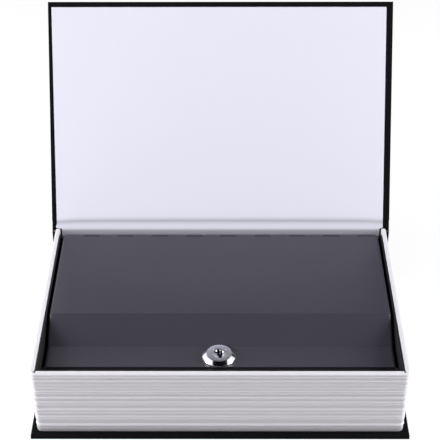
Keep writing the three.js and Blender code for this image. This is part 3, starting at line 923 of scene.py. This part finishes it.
# Shade painted along its fold, in its groove and where it goes down behind the box: millimetres up
# the cover, and share of black
FOLD_PAINTED_SHADE = (
    (-7, 0.25), (-3.6, 0.27), (-2.6, 0.34), (-1.9, 0.38), (-1.2, 0.32), (-0.5, 0.22), (0.2, 0.15),
    (2, 0.18), (2.7, 0.24), (3.3, 0.31), (4, 0.36), (4.6, 0.36), (5.1, 0.22), (5.8, 0.1),
    (6.6, 0.05), (7.6, 0),
)


def read_off(table, place):
    """The value at a place between the steps of a table."""
    for (start, low), (end, high) in zip(table, table[1:]):
        if start <= place <= end:
            return low + (high - low) * (place - start) / (end - start)
    return table[0][1] if place < table[0][0] else table[-1][1]


class BOOK_OT_front_endpaper(bpy.types.Operator):
    """Paste the front endpaper down, over the joint and behind the box"""

    bl_idname = "book.front_endpaper"
    bl_label = "Front endpaper"

    def execute(self, context):
        sizes, case = context.scene.paper_sizes, context.scene.case_sizes
        half, tuck = TUCK_HIGH.x, TUCK_LOW.y + 0.4 * MM
        hinge = on_cover(0, 0)
        lean = (on_cover(1, 0) - hinge).normalized()
        out = on_cover(0, -1) - hinge

        def up_cover(point):
            """How far up the cover from the hinge line a point lies, in millimetres."""
            return (point.yz - hinge).dot(lean) / MM

        path = [Vector((tuck, TUCK_LOW.z))]
        path += [Vector((tuck + back * MM, COVER_HINGE.z + up * MM)) for back, up in PAPER_FOLD]
        path += [on_cover(along * MM, depth * sizes.groove) for along, depth in PAPER_GROOVE]
        path += [on_cover(along * MM, 0) for along in (*PAPER_STEPS, sizes.reach / MM)]
        ends = [half - inset * MM for inset in (0, 2, 5, 9)]
        columns = [-x for x in ends] + [half * x for x in (-0.7, -0.45, -0.2, 0, 0.2, 0.45, 0.7)]
        columns += reversed(ends)
        piece = draw_line("front_endpaper_sheet", [(x, *path[0]) for x in columns])
        for here, there in zip(path, path[1:]):
            pull((0, *(there - here)))

        # Above the pages the sheet is wider, its left edge slants in towards the fold, and its
        # groove is shallower at the ends
        for side, edge in ((-1, PAPER_LOW.x), (1, PAPER_HIGH.x - 0.2 * MM)):
            pick(piece, "VERT", lambda co: side * co.x > half - WELD and co.z > BLOCK_HIGH.z)
            move((edge - side * half, 0, 0))
        close, foot_inset, slant = 0.05, 0.6 * MM, 0.95 * MM
        for along in [row[0] for row in PAPER_GROOVE] + [*PAPER_STEPS, sizes.reach / MM]:
            pick(piece, "VERT", lambda co: co.x < WELD - half
                 and abs(up_cover(co) - along) < close)
            move((foot_inset - slant * along * MM / sizes.reach, 0, 0))
        for along, depth in PAPER_GROOVE[:-1]:
            for inset, rise in ((10, 0.3), (6, 0.3), (3, 0.25)):
                pick(piece, "VERT", lambda co: abs(co.x) > half - inset * MM
                     and abs(up_cover(co) - along) < close)
                move((0, *(out * sizes.groove * depth * rise)))
        put_down()
        face_way(piece, (0, *out))
        thicken(piece, sizes.paper)

        unroll(piece, path)
        # Each vertex keeps the share of painted shade for its place up the cover
        painted_shade = piece.data.attributes.new("fold_painted_shade", "FLOAT", "POINT")
        for vertex in piece.data.vertices:
            painted_shade.data[vertex.index].value = read_off(FOLD_PAINTED_SHADE, up_cover(vertex.co))
        smooth(piece, 50)
        dress(piece, "paper")
        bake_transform(piece)
        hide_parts("front_endpaper", "endpaper_hinge")
        return {"FINISHED"}


# The edges between the pages: height above the table in millimetres, and strength
PAGE_EDGES = (
    (9.2, 1.1), (14.5, 0.8), (16.2, 0.9), (19.4, 0.4), (22.2, 1), (26.5, 0.7), (28.2, 0.9),
    (32, 1.1), (35.8, 0.5), (37.4, 1.1), (39.9, 0.6), (42.6, 0.4), (45.7, 1), (49, 0.8),
)
# The lowest pages are set back: distance and height in millimetres
PAGE_FOOT = (
    (0.6, 0), (0.35, 0.35), (0.35, 1.9), (0.2, 2.35), (0.35, 2.6), (0.25, 3.4), (0.35, 3.6),
    (0.2, 4.7), (0, 5.2),
)


def page_profile(sizes):
    """The page wall's section at its left rear end: ribbed outside, plain inside."""
    left, bottom, top = -BLOCK_HIGH.x - sizes.swell, BLOCK_LOW.z, BLOCK_HIGH.z
    radius, tight = sizes.rim_radius, sizes.inner_radius
    inner, thin = left + sizes.rim, left + sizes.wall
    outline = [(left + back * MM, bottom + up * MM) for back, up in PAGE_FOOT]
    # At each edge a fine crease, and above it a step in that runs out over the next page
    rise = 0.45 * MM
    for height, strength in PAGE_EDGES:
        crease = (0.2 + 0.35 * strength) * MM
        below = height * MM - rise
        outline += [
            (left + 0.05 * MM, below - 0.75 * MM), (left + crease, below - 0.5 * MM),
            (left, below - 0.2 * MM), (left, below),
            (left + sizes.groove * strength, height * MM + rise),
        ]
    outline += arc((left + radius, top - radius), radius, 180, 90, 8)
    outline += arc((inner - tight, top - tight), tight, 90, 0, 3)
    step = top - sizes.rim_depth
    outline += [(inner, step), (thin, step - MM), (thin, bottom + 4 * MM), (thin, bottom)]
    return outline


class BOOK_OT_page_block(bpy.types.Operator):
    """Mould the ribbed page walls round three sides of the box"""

    bl_idname = "book.page_block"
    bl_label = "Page block"

    def execute(self, context):
        sizes = context.scene.block_sizes
        front, rear = BLOCK_LOW.y, SPINE_LOW.y - sizes.rear_gap
        half, radius = BLOCK_HIGH.x + sizes.swell, sizes.corner
        section = [(x, rear, z) for x, z in page_profile(sizes)]
        piece = draw_line("page_block", section + section[:1])
        bpy.ops.mesh.remove_doubles(threshold=WELD)
        side_run, front_run = rear - (front + radius), 2 * (half - radius)
        corners = [-half + radius, half - radius]
        for way, run, steps in (
            ((0, -1, 0), side_run, 6), ((1, 0, 0), front_run, 10), ((0, 1, 0), side_run, 6),
        ):
            for _ in range(steps):
                pull([part * run / steps for part in way])
            if corners:
                corner = (corners.pop(0), front + radius, 0)
                bpy.ops.mesh.spin(steps=8, angle=-math.pi / 2, axis=UP, center=corner)
        for side in (-1, 1):
            pick(piece, "EDGE", lambda co: co.y > rear - WELD and co.x * side > 0)
            bpy.ops.mesh.edge_face_add()
        weld(piece)
        finish_with(
            piece, "SIMPLE_DEFORM", deform_method="TAPER", deform_axis="Z", factor=sizes.spread,
            lock_y=True,
        )
        # A small relief in the rim at both front corners
        relief_radius, relief_depth = 1.1 * MM, 3 * MM
        top = BLOCK_HIGH.z
        for side in (-1, 1):
            place = (side * (half - 2.3 * MM), front + 2.4 * MM)
            cut(piece, add_post(
                "relief", place, relief_radius, top - relief_depth, top + MM, 24,
            ))
        settle(piece, "pages", "base", "page_frame", 13)
        return {"FINISHED"}


def knuckle_places(sizes):
    """The middles of the box's knuckles along the hinge."""
    first = LID_LOW.x + sizes.first_slot
    last = LID_HIGH.x - sizes.last_slot
    pitch = (last - first) / (KNUCKLE_COUNT - 1)
    return [first + pitch * i for i in range(KNUCKLE_COUNT)]


class BOOK_OT_steel_box(bpy.types.Operator):
    """Fold the steel box, with its front lip, hem and hinge knuckles"""

    bl_idname = "book.steel_box"
    bl_label = "Steel box"

    def execute(self, context):
        sizes = context.scene.box_sizes
        low, high = BOX_LOW, BOX_HIGH
        sheet, lip_top = sizes.sheet, sizes.lip_top
        rear_top = LID_HINGE.z - sizes.knuckle - KNUCKLE_GAP
        # The tray, lower at the front and the rear than at its ends
        piece = add_block("box_tray", low, high)
        open_mesh(piece)
        remove_faces(piece, lambda place, normal: normal.z > 0.9)
        bevel_sharp(piece, 80, sizes.corner, 4)
        slice_at((0, 0, lip_top), UP)
        slice_at((0, 0, rear_top), UP)
        remove_faces(piece, lambda place, normal: normal.y < -0.5 and place.z > lip_top)
        remove_faces(piece, lambda place, normal: normal.y > 0.5 and place.z > rear_top)
        pick(piece, "EDGE", lambda co: co.y < low.y + WELD and abs(co.z - lip_top) < WELD
             and abs(co.x) < high.x - sizes.corner + WELD)
        # The front lip, folded in and then down
        lip_rear = low.y + sizes.lip_depth
        lip = soften([
            (low.y, lip_top - 3 * MM), (low.y, lip_top), (lip_rear, lip_top),
            (lip_rear, lip_top - sizes.hem),
        ], sizes.bend)
        move((0, lip[1].x - low.y, lip[1].y - lip_top))
        for here, there in zip(lip[1:], lip[2:]):
            pull((0, *(there - here)))
        put_down()
        weld(piece)
        face_way(piece, (0, 0, -1))
        thicken(piece, sheet)

        # The knuckles, rolled round the hinge pin
        rear, centre = high.y - sheet / 2, LID_HINGE.yz
        roll = [(rear, rear_top - 6 * MM), (rear, LID_HINGE.z - 0.6 * MM)]
        roll += arc(centre, sizes.knuckle - sheet / 2, 0, ROLL_TURN, 14)
        places = knuckle_places(sizes)
        start = places[0] - sizes.slot / 2 + sizes.slot_gap
        knuckle = draw_line("knuckle", [(start, y, z) for y, z in roll])
        pull((sizes.slot - 2 * sizes.slot_gap, 0, 0))
        put_down()
        face_way(knuckle, (0, 1, 0))
        finish_with(knuckle, "SOLIDIFY", thickness=sheet, offset=0, use_even_offset=True)
        round_edges(knuckle, 0.12 * MM, 2, 60)
        finish_with(
            knuckle, "ARRAY", count=KNUCKLE_COUNT, use_relative_offset=False,
            use_constant_offset=True, constant_offset_displace=(places[1] - places[0], 0, 0),
        )
        take(piece)
        knuckle.select_set(True)
        bpy.ops.object.join()
        # The box is near-black, with shade painted in; its knuckles take the lid's coat
        settle(piece, "box_paint", "base", "steel_box")
        add_finish(piece, "lid_paint", lambda at, normal: abs(at.x) < high.x - 5 * MM
                   and (at.yz - centre).length < sizes.knuckle + 0.2 * MM)
        return {"FINISHED"}


class BOOK_OT_lid(bpy.types.Operator):
    """Fold the steel lid, with its slope, ledge, side flanges and rolled tabs"""

    bl_idname = "book.lid"
    bl_label = "Steel lid"

    def execute(self, context):
        sizes, box = context.scene.lid_sizes, context.scene.box_sizes
        top, half, front = LID_HIGH.z, LID_HIGH.x, LID_LOW.y
        side, flange = sizes.bend, sizes.flange
        ledge_top = top - sizes.drop
        foot = front + sizes.ledge
        rear = LID_HINGE.y - box.knuckle - KNUCKLE_GAP
        line = soften([
            (rear, top), (foot + sizes.slope, top), (foot, ledge_top), (front, ledge_top),
        ], sizes.fold, 5)
        slots = []
        for place in knuckle_places(box):
            slots += [place - box.slot / 2, place + box.slot / 2]
        # The plate is drawn from rear to front and pulled across, turned down at both sides
        bend_steps = 5
        turns = [math.pi / 2 * step / bend_steps for step in range(bend_steps + 1)]
        rounding = [(side * math.sin(turn), side * (1 - math.cos(turn))) for turn in turns]
        stations = [(-half, -flange)]
        stations += [(-half + side - out, -down) for out, down in reversed(rounding)]
        stations += [(x, 0) for x in slots]
        stations += [(half - side + out, -down) for out, down in rounding]
        stations += [(half, -flange)]
        first_x, first_z = stations[0]
        piece = draw_line("lid_plate", [(first_x, y, z + first_z) for y, z in line])
        for here, there in zip(stations, stations[1:]):
            pull((there[0] - here[0], 0, there[1] - here[1]))

        # The flanges stop short of both ends, and the tabs between the slots are rolled
        flange_rear, flange_front = rear - 5 * MM, front + 2.8 * MM
        slice_at((0, flange_rear, 0), (0, 1, 0))
        slice_at((0, flange_front, 0), (0, 1, 0))
        remove_faces(piece, lambda place, normal: abs(place.x) > half - 0.3 * MM
                     and not flange_front <= place.y <= flange_rear)
        tabs = [-half + side] + slots + [half - side]
        for start, end in zip(tabs[::2], tabs[1::2]):
            pick(piece, "EDGE", lambda co: co.y > rear - WELD and co.z > top - WELD
                 and start - WELD < co.x < end + WELD)
            pull((0, LID_HINGE.y - rear, 0))
            bpy.ops.mesh.spin(
                steps=12, angle=math.radians(ROLL_TURN), center=LID_HINGE, axis=ACROSS,
            )
        put_down()
        weld(piece)
        face_way(piece, UP)
        thicken(piece, sizes.sheet)
        cut(piece, add_post(
            "hole", LOCK_AXIS, context.scene.lock_sizes.barrel + 0.15 * MM,
            ledge_top - 3 * MM, ledge_top + 3 * MM, 64,
        ))
        settle(piece, "lid_paint", "lid", "lid_panel")
        return {"FINISHED"}


class BOOK_OT_hinge_pin(bpy.types.Operator):
    """Turn the hinge pin, with domed ends"""

    bl_idname = "book.hinge_pin"
    bl_label = "Hinge pin"

    def execute(self, context):
        radius = (PIN_HIGH.z - PIN_LOW.z) / 2
        put_down()
        bpy.ops.mesh.primitive_cylinder_add(
            vertices=24, radius=radius, depth=PIN_HIGH.x - PIN_LOW.x,
            location=(PIN_LOW + PIN_HIGH) / 2, rotation=(0, math.pi / 2, 0),
        )
        piece = name_piece("lid_pin")
        round_edges(piece, 0.4 * MM, 3, 60)
        settle(piece, "oiled", "base", "hinge_pin")
        return {"FINISHED"}


class BOOK_OT_lock_housing(bpy.types.Operator):
    """Turn the lock's bezel and threaded barrel, with its nut and washer"""

    bl_idname = "book.lock_housing"
    bl_label = "Lock housing"

    def execute(self, context):
        sizes, place = context.scene.lock_sizes, LOCK_AXIS
        barrel, bore = sizes.barrel, sizes.bore
        wider = 0.4 * MM
        outer = (HOUSING_HIGH.x - HOUSING_LOW.x) / 2 + wider
        ledge = WASHER_HIGH.z + context.scene.lid_sizes.sheet
        face, bottom = HOUSING_HIGH.z + sizes.proud, HOUSING_LOW.z
        outline = [Vector((bore, bottom + MM))]
        outline += soften([
            (bore, face), (sizes.face_radius, face), (outer, ledge + sizes.bezel_side),
            (outer, ledge), (barrel, ledge), (barrel, ledge - MM),
        ], 0.15 * MM, 3)
        root, pitch = barrel - 0.28 * MM, sizes.thread
        height = ledge - 1.6 * MM
        while height > bottom + 0.8 * MM:
            outline += [(barrel, height), (root, height - pitch / 4)]
            outline += [(root, height - pitch / 2), (barrel, height - pitch * 3 / 4)]
            height -= pitch
        outline += [(root, bottom + 0.3 * MM), (root - 0.2 * MM, bottom), (bore, bottom)]
        piece = turn_round("lock_bezel", place, outline, 72)

        # Grooves for the wafers, at both ends of the quarter turn
        half = 2.6 * MM
        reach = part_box("wafer_1")[1][1] - place.y + 1.1 * MM
        low = span("wafer_1")[0].z - 0.7 * MM
        high = span(f"wafer_{WAFER_COUNT}")[1].z + 0.7 * MM
        for near, far in (((-half, 0), (half, reach)), ((0, -half), (reach, half))):
            cut(piece, add_block(
                "groove", (place.x + near[0], place.y + near[1], low),
                (place.x + far[0], place.y + far[1], high),
            ))
        settle(piece, "chrome", "lid", "lock_housing")
        add_finish(piece, "turned", lambda at, normal: normal.z > 0.98 and at.z > face - 0.05 * MM)

        low, high = NUT_LOW.z, NUT_HIGH.z
        nut = add_post(
            "ring_nut", (NUT_LOW + NUT_HIGH) / 2, (NUT_HIGH.x - NUT_LOW.x) / 2, low, high, 6,
            math.pi / 6,
        )
        cut(nut, add_post("bore", place, barrel + 0.12 * MM, low - MM, high + MM, 64))
        inside, flat, corner, past = 0.1 * MM, 7.3 * MM, 9.2 * MM, 0.01 * MM
        cut(nut, turn_round("chamfer", place, [
            (inside, low - past), (flat, low - past), (corner, low + MM), (corner, high - MM),
            (flat, high + past), (inside, high + past),
        ], 48), "INTERSECT")
        round_edges(nut, 0.12 * MM, 2, 40)
        settle(nut, "steel", "lid", "lock_nut")

        low, high = WASHER_LOW.z, WASHER_HIGH.z
        wide, tight = (WASHER_HIGH.x - WASHER_LOW.x) / 2, barrel + 0.15 * MM
        washer = turn_round("lock_ring", place, soften([
            (barrel + 0.3 * MM, low), (wide, low), (wide, high), (tight, high),
            (tight, low + 0.1 * MM),
        ], 0.12 * MM, 2), 48)
        settle(washer, "steel", "lid", "lock_washer")
        return {"FINISHED"}


# Cuts that make up the keyway: left, right, front and rear edge from the lock's axis, and depth,
# in millimetres
KEYWAY = (
    (-1.2, 0.35, -2.1, 3.9, 12.7), (1.1, 2, -0.9, 3, 5), (-1.2, 2, -2.1, -0.4, 12.7),
    (-3, -1.2, 0.8, 2.2, 5),
)


class BOOK_OT_lock_plug(bpy.types.Operator):
    """Turn the plug, with its keyway, wafer slots and square boss"""

    bl_idname = "book.lock_plug"
    bl_label = "Lock plug"

    def execute(self, context):
        sizes, place = context.scene.lock_sizes, LOCK_AXIS
        top, bottom = PLUG_HIGH.z + sizes.proud, PLUG_LOW.z + 1.4 * MM
        radius, edge = sizes.plug, 0.35 * MM
        piece = add_post("lock_core", place, radius, bottom, top, 72)
        open_mesh(piece)
        pick(piece, "FACE", lambda at, normal: normal.z > 0.9)
        bpy.ops.mesh.inset(thickness=edge, depth=0)
        bpy.ops.mesh.inset(thickness=radius - edge - sizes.dimple, depth=0)
        bpy.ops.mesh.inset(thickness=0.25 * MM, depth=-0.4 * MM)
        put_down()
        round_edges(piece, 0.05 * MM, 2, 30)

        for left, right, low_y, high_y, depth in KEYWAY:
            cut(piece, add_block(
                "slot", (place.x + left * MM, place.y + low_y * MM, top - depth * MM),
                (place.x + right * MM, place.y + high_y * MM, top + MM),
            ))
        dot = (place.x + 0.7 * MM, place.y - 3.2 * MM)
        cut(piece, add_post("dot", dot, 1.25 * MM, top - KEYWAY[0][-1] * MM, top + MM, 32))
        gap = 0.12 * MM
        wide, long = 2.4 * MM + gap, radius + MM
        for i in range(WAFER_COUNT):
            low, high = span(f"wafer_{i + 1}")
            cut(piece, add_block(
                "wafer_slot", (place.x - wide, place.y - long, low.z - gap),
                (place.x + wide, place.y + long, high.z + gap),
            ))
        square = 2.8 * MM
        boss = add_block(
            "boss", (place.x - square, place.y - square, PLUG_LOW.z),
            (place.x + square, place.y + square, bottom + 0.3 * MM),
        )
        round_edges(boss, 0.2 * MM, 2, 60)
        cut(piece, boss, "UNION")
        settle(piece, "turned", "plug", "lock_plug", 20)
        # The keyway's walls and floors are near-black: grease, with the shade of the slots painted
        # in
        add_finish(piece, "grease_and_shade", lambda at, normal: at.z < top - 0.45 * MM
                   and (at.xy - place.xy).length < radius - 0.2 * MM and at.z > bottom + 0.1 * MM)
        return {"FINISHED"}


class BOOK_OT_wafer_springs(bpy.types.Operator):
    """Wind the five small springs, and finish the wafers beside them"""

    bl_idname = "book.wafer_springs"
    bl_label = "Wafer springs"

    def execute(self, context):
        wire, turns, steps = 0.09 * MM, 7, 14 * 7
        for i in range(WAFER_COUNT):
            low, high = span(f"wafer_spring_{i + 1}")
            middle = (low + high) / 2
            radius = (high.x - low.x) / 2 - wire
            put_down()
            bpy.ops.mesh.primitive_circle_add(
                vertices=8, radius=wire, location=(radius, 0, 0), rotation=(math.pi / 2, 0, 0),
            )
            spring = name_piece(f"coil_spring_{i + 1}")
            finish_with(
                spring, "SCREW", axis="Z", angle=math.tau * turns, steps=steps,
                screw_offset=high.y - low.y - 2 * wire, render_steps=steps, use_merge_vertices=True,
            )
            open_mesh(spring)
            pick_all()
            bpy.ops.mesh.fill_holes(sides=0)
            put_down()
            spring.rotation_euler = (-math.pi / 2, 0, 0)
            spring.location = (middle.x, low.y + wire, middle.z)
            take(spring)
            bpy.ops.object.transform_apply(location=True, rotation=True, scale=True)
            weld(spring)
            smooth(spring, 60)
            dress(spring, "steel")
            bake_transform(spring)
            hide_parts(f"wafer_spring_{i + 1}")
            set_finish(frame["nodes"][f"wafer_{i + 1}"], "brass")
        return {"FINISHED"}


class BOOK_OT_cam(bpy.types.Operator):
    """Stamp the locking cam, with its washer and screw"""

    bl_idname = "book.cam"
    bl_label = "Cam"

    def execute(self, context):
        place = LOCK_AXIS
        low, high = CAM_LOW.z, CAM_HIGH.z
        hub, tip, eye = 5 * MM, 3.6 * MM, 2.95 * MM
        shape = arc(place.xy, hub, 90, 270, 14)
        shape += arc((CAM_HIGH.x - tip, place.y), tip, -90, 90, 12)
        cam = draw_line("cam_plate", [(x, y, low) for x, y in shape + shape[:1]])
        bpy.ops.mesh.remove_doubles(threshold=WELD)
        pick_all()
        bpy.ops.mesh.edge_face_add()
        pull((0, 0, high - low))
        put_down()
        weld(cam)
        cut(cam, add_block("eye", (place.x - eye, place.y - eye, low - MM),
                           (place.x + eye, place.y + eye, high + MM)))
        round_edges(cam, 0.18 * MM, 2, 50)
        settle(cam, "steel", "plug", "lock_cam")

        low, high = CAM_WASHER_LOW.z, CAM_WASHER_HIGH.z
        radius, hole = (CAM_WASHER_HIGH.x - CAM_WASHER_LOW.x) / 2, 1.55 * MM
        washer = turn_round("cam_ring", place, soften([
            (1.7 * MM, low), (radius, low), (radius, high), (hole, high), (hole, low + 0.1 * MM),
        ], 0.12 * MM, 2), 40)
        settle(washer, "steel", "plug", "cam_washer")

        under, low, high = low, SCREW_LOW.z, SCREW_HIGH.z
        head, crest, root = (SCREW_HIGH.x - SCREW_LOW.x) / 2, 1.4 * MM, 1.18 * MM
        outline = [(0, low), (head * 0.55, low + 0.02 * MM), (head * 0.85, low + 0.3 * MM),
                   (head, low + 0.9 * MM), (head, under), (crest, under)]
        height = under + 0.4 * MM
        while height < high - 0.7 * MM:
            outline += [(crest, height), (root, height + 0.15 * MM), (crest, height + 0.3 * MM)]
            height += 0.45 * MM
        outline += [(1.1 * MM, high - 0.1 * MM), (0.8 * MM, high), (0, high)]
        screw = turn_round("cam_bolt", place, outline, 40)
        slot = 0.35 * MM
        cut(screw, add_block("slot", (place.x - head - MM, place.y - slot, low - MM),
                             (place.x + head + MM, place.y + slot, low + 0.8 * MM)))
        settle(screw, "steel", "plug", "cam_screw")
        return {"FINISHED"}


class BOOK_OT_boards(bpy.types.Operator):
    """Finish the frame's three boards, and lay the back endpaper"""

    bl_idname = "book.boards"
    bl_label = "Boards and back paper"

    def execute(self, context):
        for name in ("back_board", "spine_board", "front_board"):
            set_finish(frame["nodes"][name], "board")
        low, high = span("back_endpaper")
        inset = 1.2 * MM
        thickness = context.scene.paper_sizes.paper
        paper = add_block(
            "back_endpaper_sheet", (low.x + inset, low.y + inset, high.z - thickness),
            (high.x - inset, high.y, high.z),
        )
        round_edges(paper, 0.05 * MM, 1, 60)
        unroll(paper, [(low.y, high.z), (high.y, high.z)])
        settle(paper, "paper", "base", "back_endpaper")
        return {"FINISHED"}


def lamp(name, place, size, power):
    """A soft box that looks at the middle of the book."""
    light = bpy.data.lights.new(name, "AREA")
    light.shape = "RECTANGLE"
    light.size, light.size_y = size
    light.energy = power
    made = bpy.data.objects.new(name, light)
    made.location = place
    middle = Vector((0, 0.02, 0.06))
    made.rotation_euler = (middle - Vector(place)).to_track_quat("-Z", "Y").to_euler()
    bpy.context.scene.collection.objects.link(made)


# The camera as fitted to the photograph, for a picture 440 pixels wide: its place in millimetres,
# how far it looks down and turns to the left and leans, in radians, and its focal length in pixels
CAMERA_PLACE = Vector((3.698, -662.7, 579.791)) * MM
CAMERA_PITCH = 0.613042
CAMERA_YAW = 0.005527
CAMERA_ROLL = 0.003365
CAMERA_FOCAL = 1277.451
PICTURE_WIDTH = 440
FILM_WIDTH = 36


class BOOK_OT_stage(bpy.types.Operator):
    """Set the floor, the light and the camera"""

    bl_idname = "book.stage"
    bl_label = "Stage"

    def execute(self, context):
        scene, sizes = context.scene, context.scene.stage_sizes
        scene.view_settings.view_transform = "Standard"
        put_down()
        bpy.ops.mesh.primitive_plane_add(size=30)
        floor = name_piece("floor")
        floor.data.materials.append(self.floor_finish())
        self.light_world(scene)
        lamp("front_box", (-0.3, -1.25, 0.8), (1.3, 0.7), sizes.front_power)
        lamp("left_box", (-1.0, -0.15, 0.45), (0.6, 0.8), sizes.left_power)
        lamp("right_box", (1.0, -0.15, 0.45), (0.6, 0.8), sizes.right_power)
        self.set_camera(scene)
        return {"FINISHED"}

    def floor_finish(self):
        """A floor that shows white with the object's shadow, and bounces less light than white."""
        made = bpy.data.materials.new("white_floor")
        made.use_nodes = True
        made.node_tree.nodes.clear()
        bounce = node(made, "BsdfDiffuse", {"Color": (0.37, 0.37, 0.37, 1)})
        shade = node(made, "BsdfDiffuse", {"Color": (0.25, 0.25, 0.25, 1)})
        glow = node(made, "Emission", {"Color": (1, 1, 1, 1), "Strength": 0.8})
        both = node(made, "AddShader", {0: shade.outputs[0], 1: glow.outputs[0]})
        shown = self.rays(made, "Camera", "Glossy", "Transmission")
        mixed = node(made, "MixShader", {0: shown, 1: bounce.outputs[0], 2: both.outputs[0]})
        node(made, "OutputMaterial", {"Surface": mixed.outputs[0]})
        return made

    def rays(self, material, *kinds):
        """One where a ray is of one of these kinds, and else nought."""
        seen = node(material, "LightPath").outputs
        first, *others = [seen[f"Is {kind} Ray"] for kind in kinds]
        for other in others:
            first = maths(material, "MAXIMUM", first, other)
        return first

    def light_world(self, scene):
        """White to the camera, dim to the object, and a studio's walls to what is glossy."""
        world = bpy.data.worlds.new("studio")
        scene.world = world
        world.use_nodes = True
        world.node_tree.nodes.clear()
        way = node(world, "TexCoord").outputs["Generated"]
        x, y, z = node(world, "SeparateXYZ", {"Vector": way}).outputs
        # What gloss sees: a panel at each side but none behind the book, and a low wall all round
        # that fades from the left to the right
        bright, dark = 1.2, 0.003
        left_panel = fit(world, x, bright, dark, -0.49, -0.46)
        right_panel = fit(world, x, dark, bright, 0.57, 0.6)
        panels = maths(world, "MULTIPLY", maths(world, "MAXIMUM", left_panel, right_panel),
                       fit(world, y, 1, dark, 0.45, 0.6))
        around = maths(world, "MULTIPLY", fit(world, z, 1, dark, 0.6, 0.71),
                       fit(world, x, 1.25, 0.05, -0.35, 0.3))
        skies = [
            node(world, "Background", {"Color": colour, "Strength": strength}).outputs[0]
            for colour, strength in (
                ((0.98, 0.98, 1, 1), scene.stage_sizes.sky),
                ((1, 1, 1, 1), maths(world, "MAXIMUM", panels, around)),
                ((1, 1, 1, 1), 1),
            )
        ]
        soft, gloss, shown = skies
        glossy = self.rays(world, "Glossy", "Transmission")
        lit = node(world, "MixShader", {0: glossy, 1: soft, 2: gloss}).outputs[0]
        both = node(world, "MixShader", {0: self.rays(world, "Camera"), 1: lit, 2: shown})
        node(world, "OutputWorld", {"Surface": both.outputs[0]})

    def set_camera(self, scene):
        """Puts the camera where the photograph was taken from."""
        level = Vector((math.cos(CAMERA_YAW), math.sin(CAMERA_YAW), 0))
        ahead = Vector((-math.sin(CAMERA_YAW), math.cos(CAMERA_YAW), 0))
        view = ahead * math.cos(CAMERA_PITCH) - UP * math.sin(CAMERA_PITCH)
        above = ahead * math.sin(CAMERA_PITCH) + UP * math.cos(CAMERA_PITCH)
        right = level * math.cos(CAMERA_ROLL) - above * math.sin(CAMERA_ROLL)
        top = level * math.sin(CAMERA_ROLL) + above * math.cos(CAMERA_ROLL)
        camera = bpy.data.cameras.new("camera")
        camera.sensor_fit = "HORIZONTAL"
        camera.sensor_width = FILM_WIDTH
        camera.lens = CAMERA_FOCAL / PICTURE_WIDTH * FILM_WIDTH
        camera.clip_start = 0.02
        made = bpy.data.objects.new("camera", camera)
        turn = Matrix((right, top, -view)).transposed().to_4x4()
        made.matrix_world = Matrix.Translation(CAMERA_PLACE) @ turn
        scene.collection.objects.link(made)
        scene.camera = made


STEPS = [
    BOOK_OT_stage, BOOK_OT_boards, BOOK_OT_case_cloth, BOOK_OT_front_endpaper, BOOK_OT_page_block,
    BOOK_OT_steel_box, BOOK_OT_hinge_pin, BOOK_OT_lid, BOOK_OT_lock_housing, BOOK_OT_lock_plug,
    BOOK_OT_wafer_springs, BOOK_OT_cam,
]
GROUPS = {
    "case_sizes": CaseSizes, "paper_sizes": PaperSizes, "block_sizes": BlockSizes,
    "box_sizes": BoxSizes, "lid_sizes": LidSizes, "lock_sizes": LockSizes,
    "book_finishes": Finishes, "stage_sizes": StageSizes,
}


class BOOK_PT_panel(bpy.types.Panel):
    """The steps in their order, and the sizes and finishes that can be changed"""

    bl_idname = "BOOK_PT_panel"
    bl_label = "Book Safe"
    bl_space_type = "VIEW_3D"
    bl_region_type = "UI"
    bl_category = "Book Safe"

    def draw(self, context):
        for step in STEPS:
            self.layout.operator(step.bl_idname)
        for name, group in GROUPS.items():
            column = self.layout.box().column()
            for key in group.__annotations__:
                column.prop(getattr(context.scene, name), key)


def register():
    for group in GROUPS.values():
        bpy.utils.register_class(group)
    for name, group in GROUPS.items():
        setattr(bpy.types.Scene, name, bpy.props.PointerProperty(type=group))
    for step in STEPS:
        bpy.utils.register_class(step)
    bpy.utils.register_class(BOOK_PT_panel)


def unregister():
    bpy.utils.unregister_class(BOOK_PT_panel)
    for step in reversed(STEPS):
        bpy.utils.unregister_class(step)
    for name, group in reversed(GROUPS.items()):
        delattr(bpy.types.Scene, name)
        bpy.utils.unregister_class(group)


def main():
    register()
    for step in STEPS:
        family, action = step.bl_idname.split(".")
        getattr(getattr(bpy.ops, family), action)()


if __name__ == "__main__":
    main()
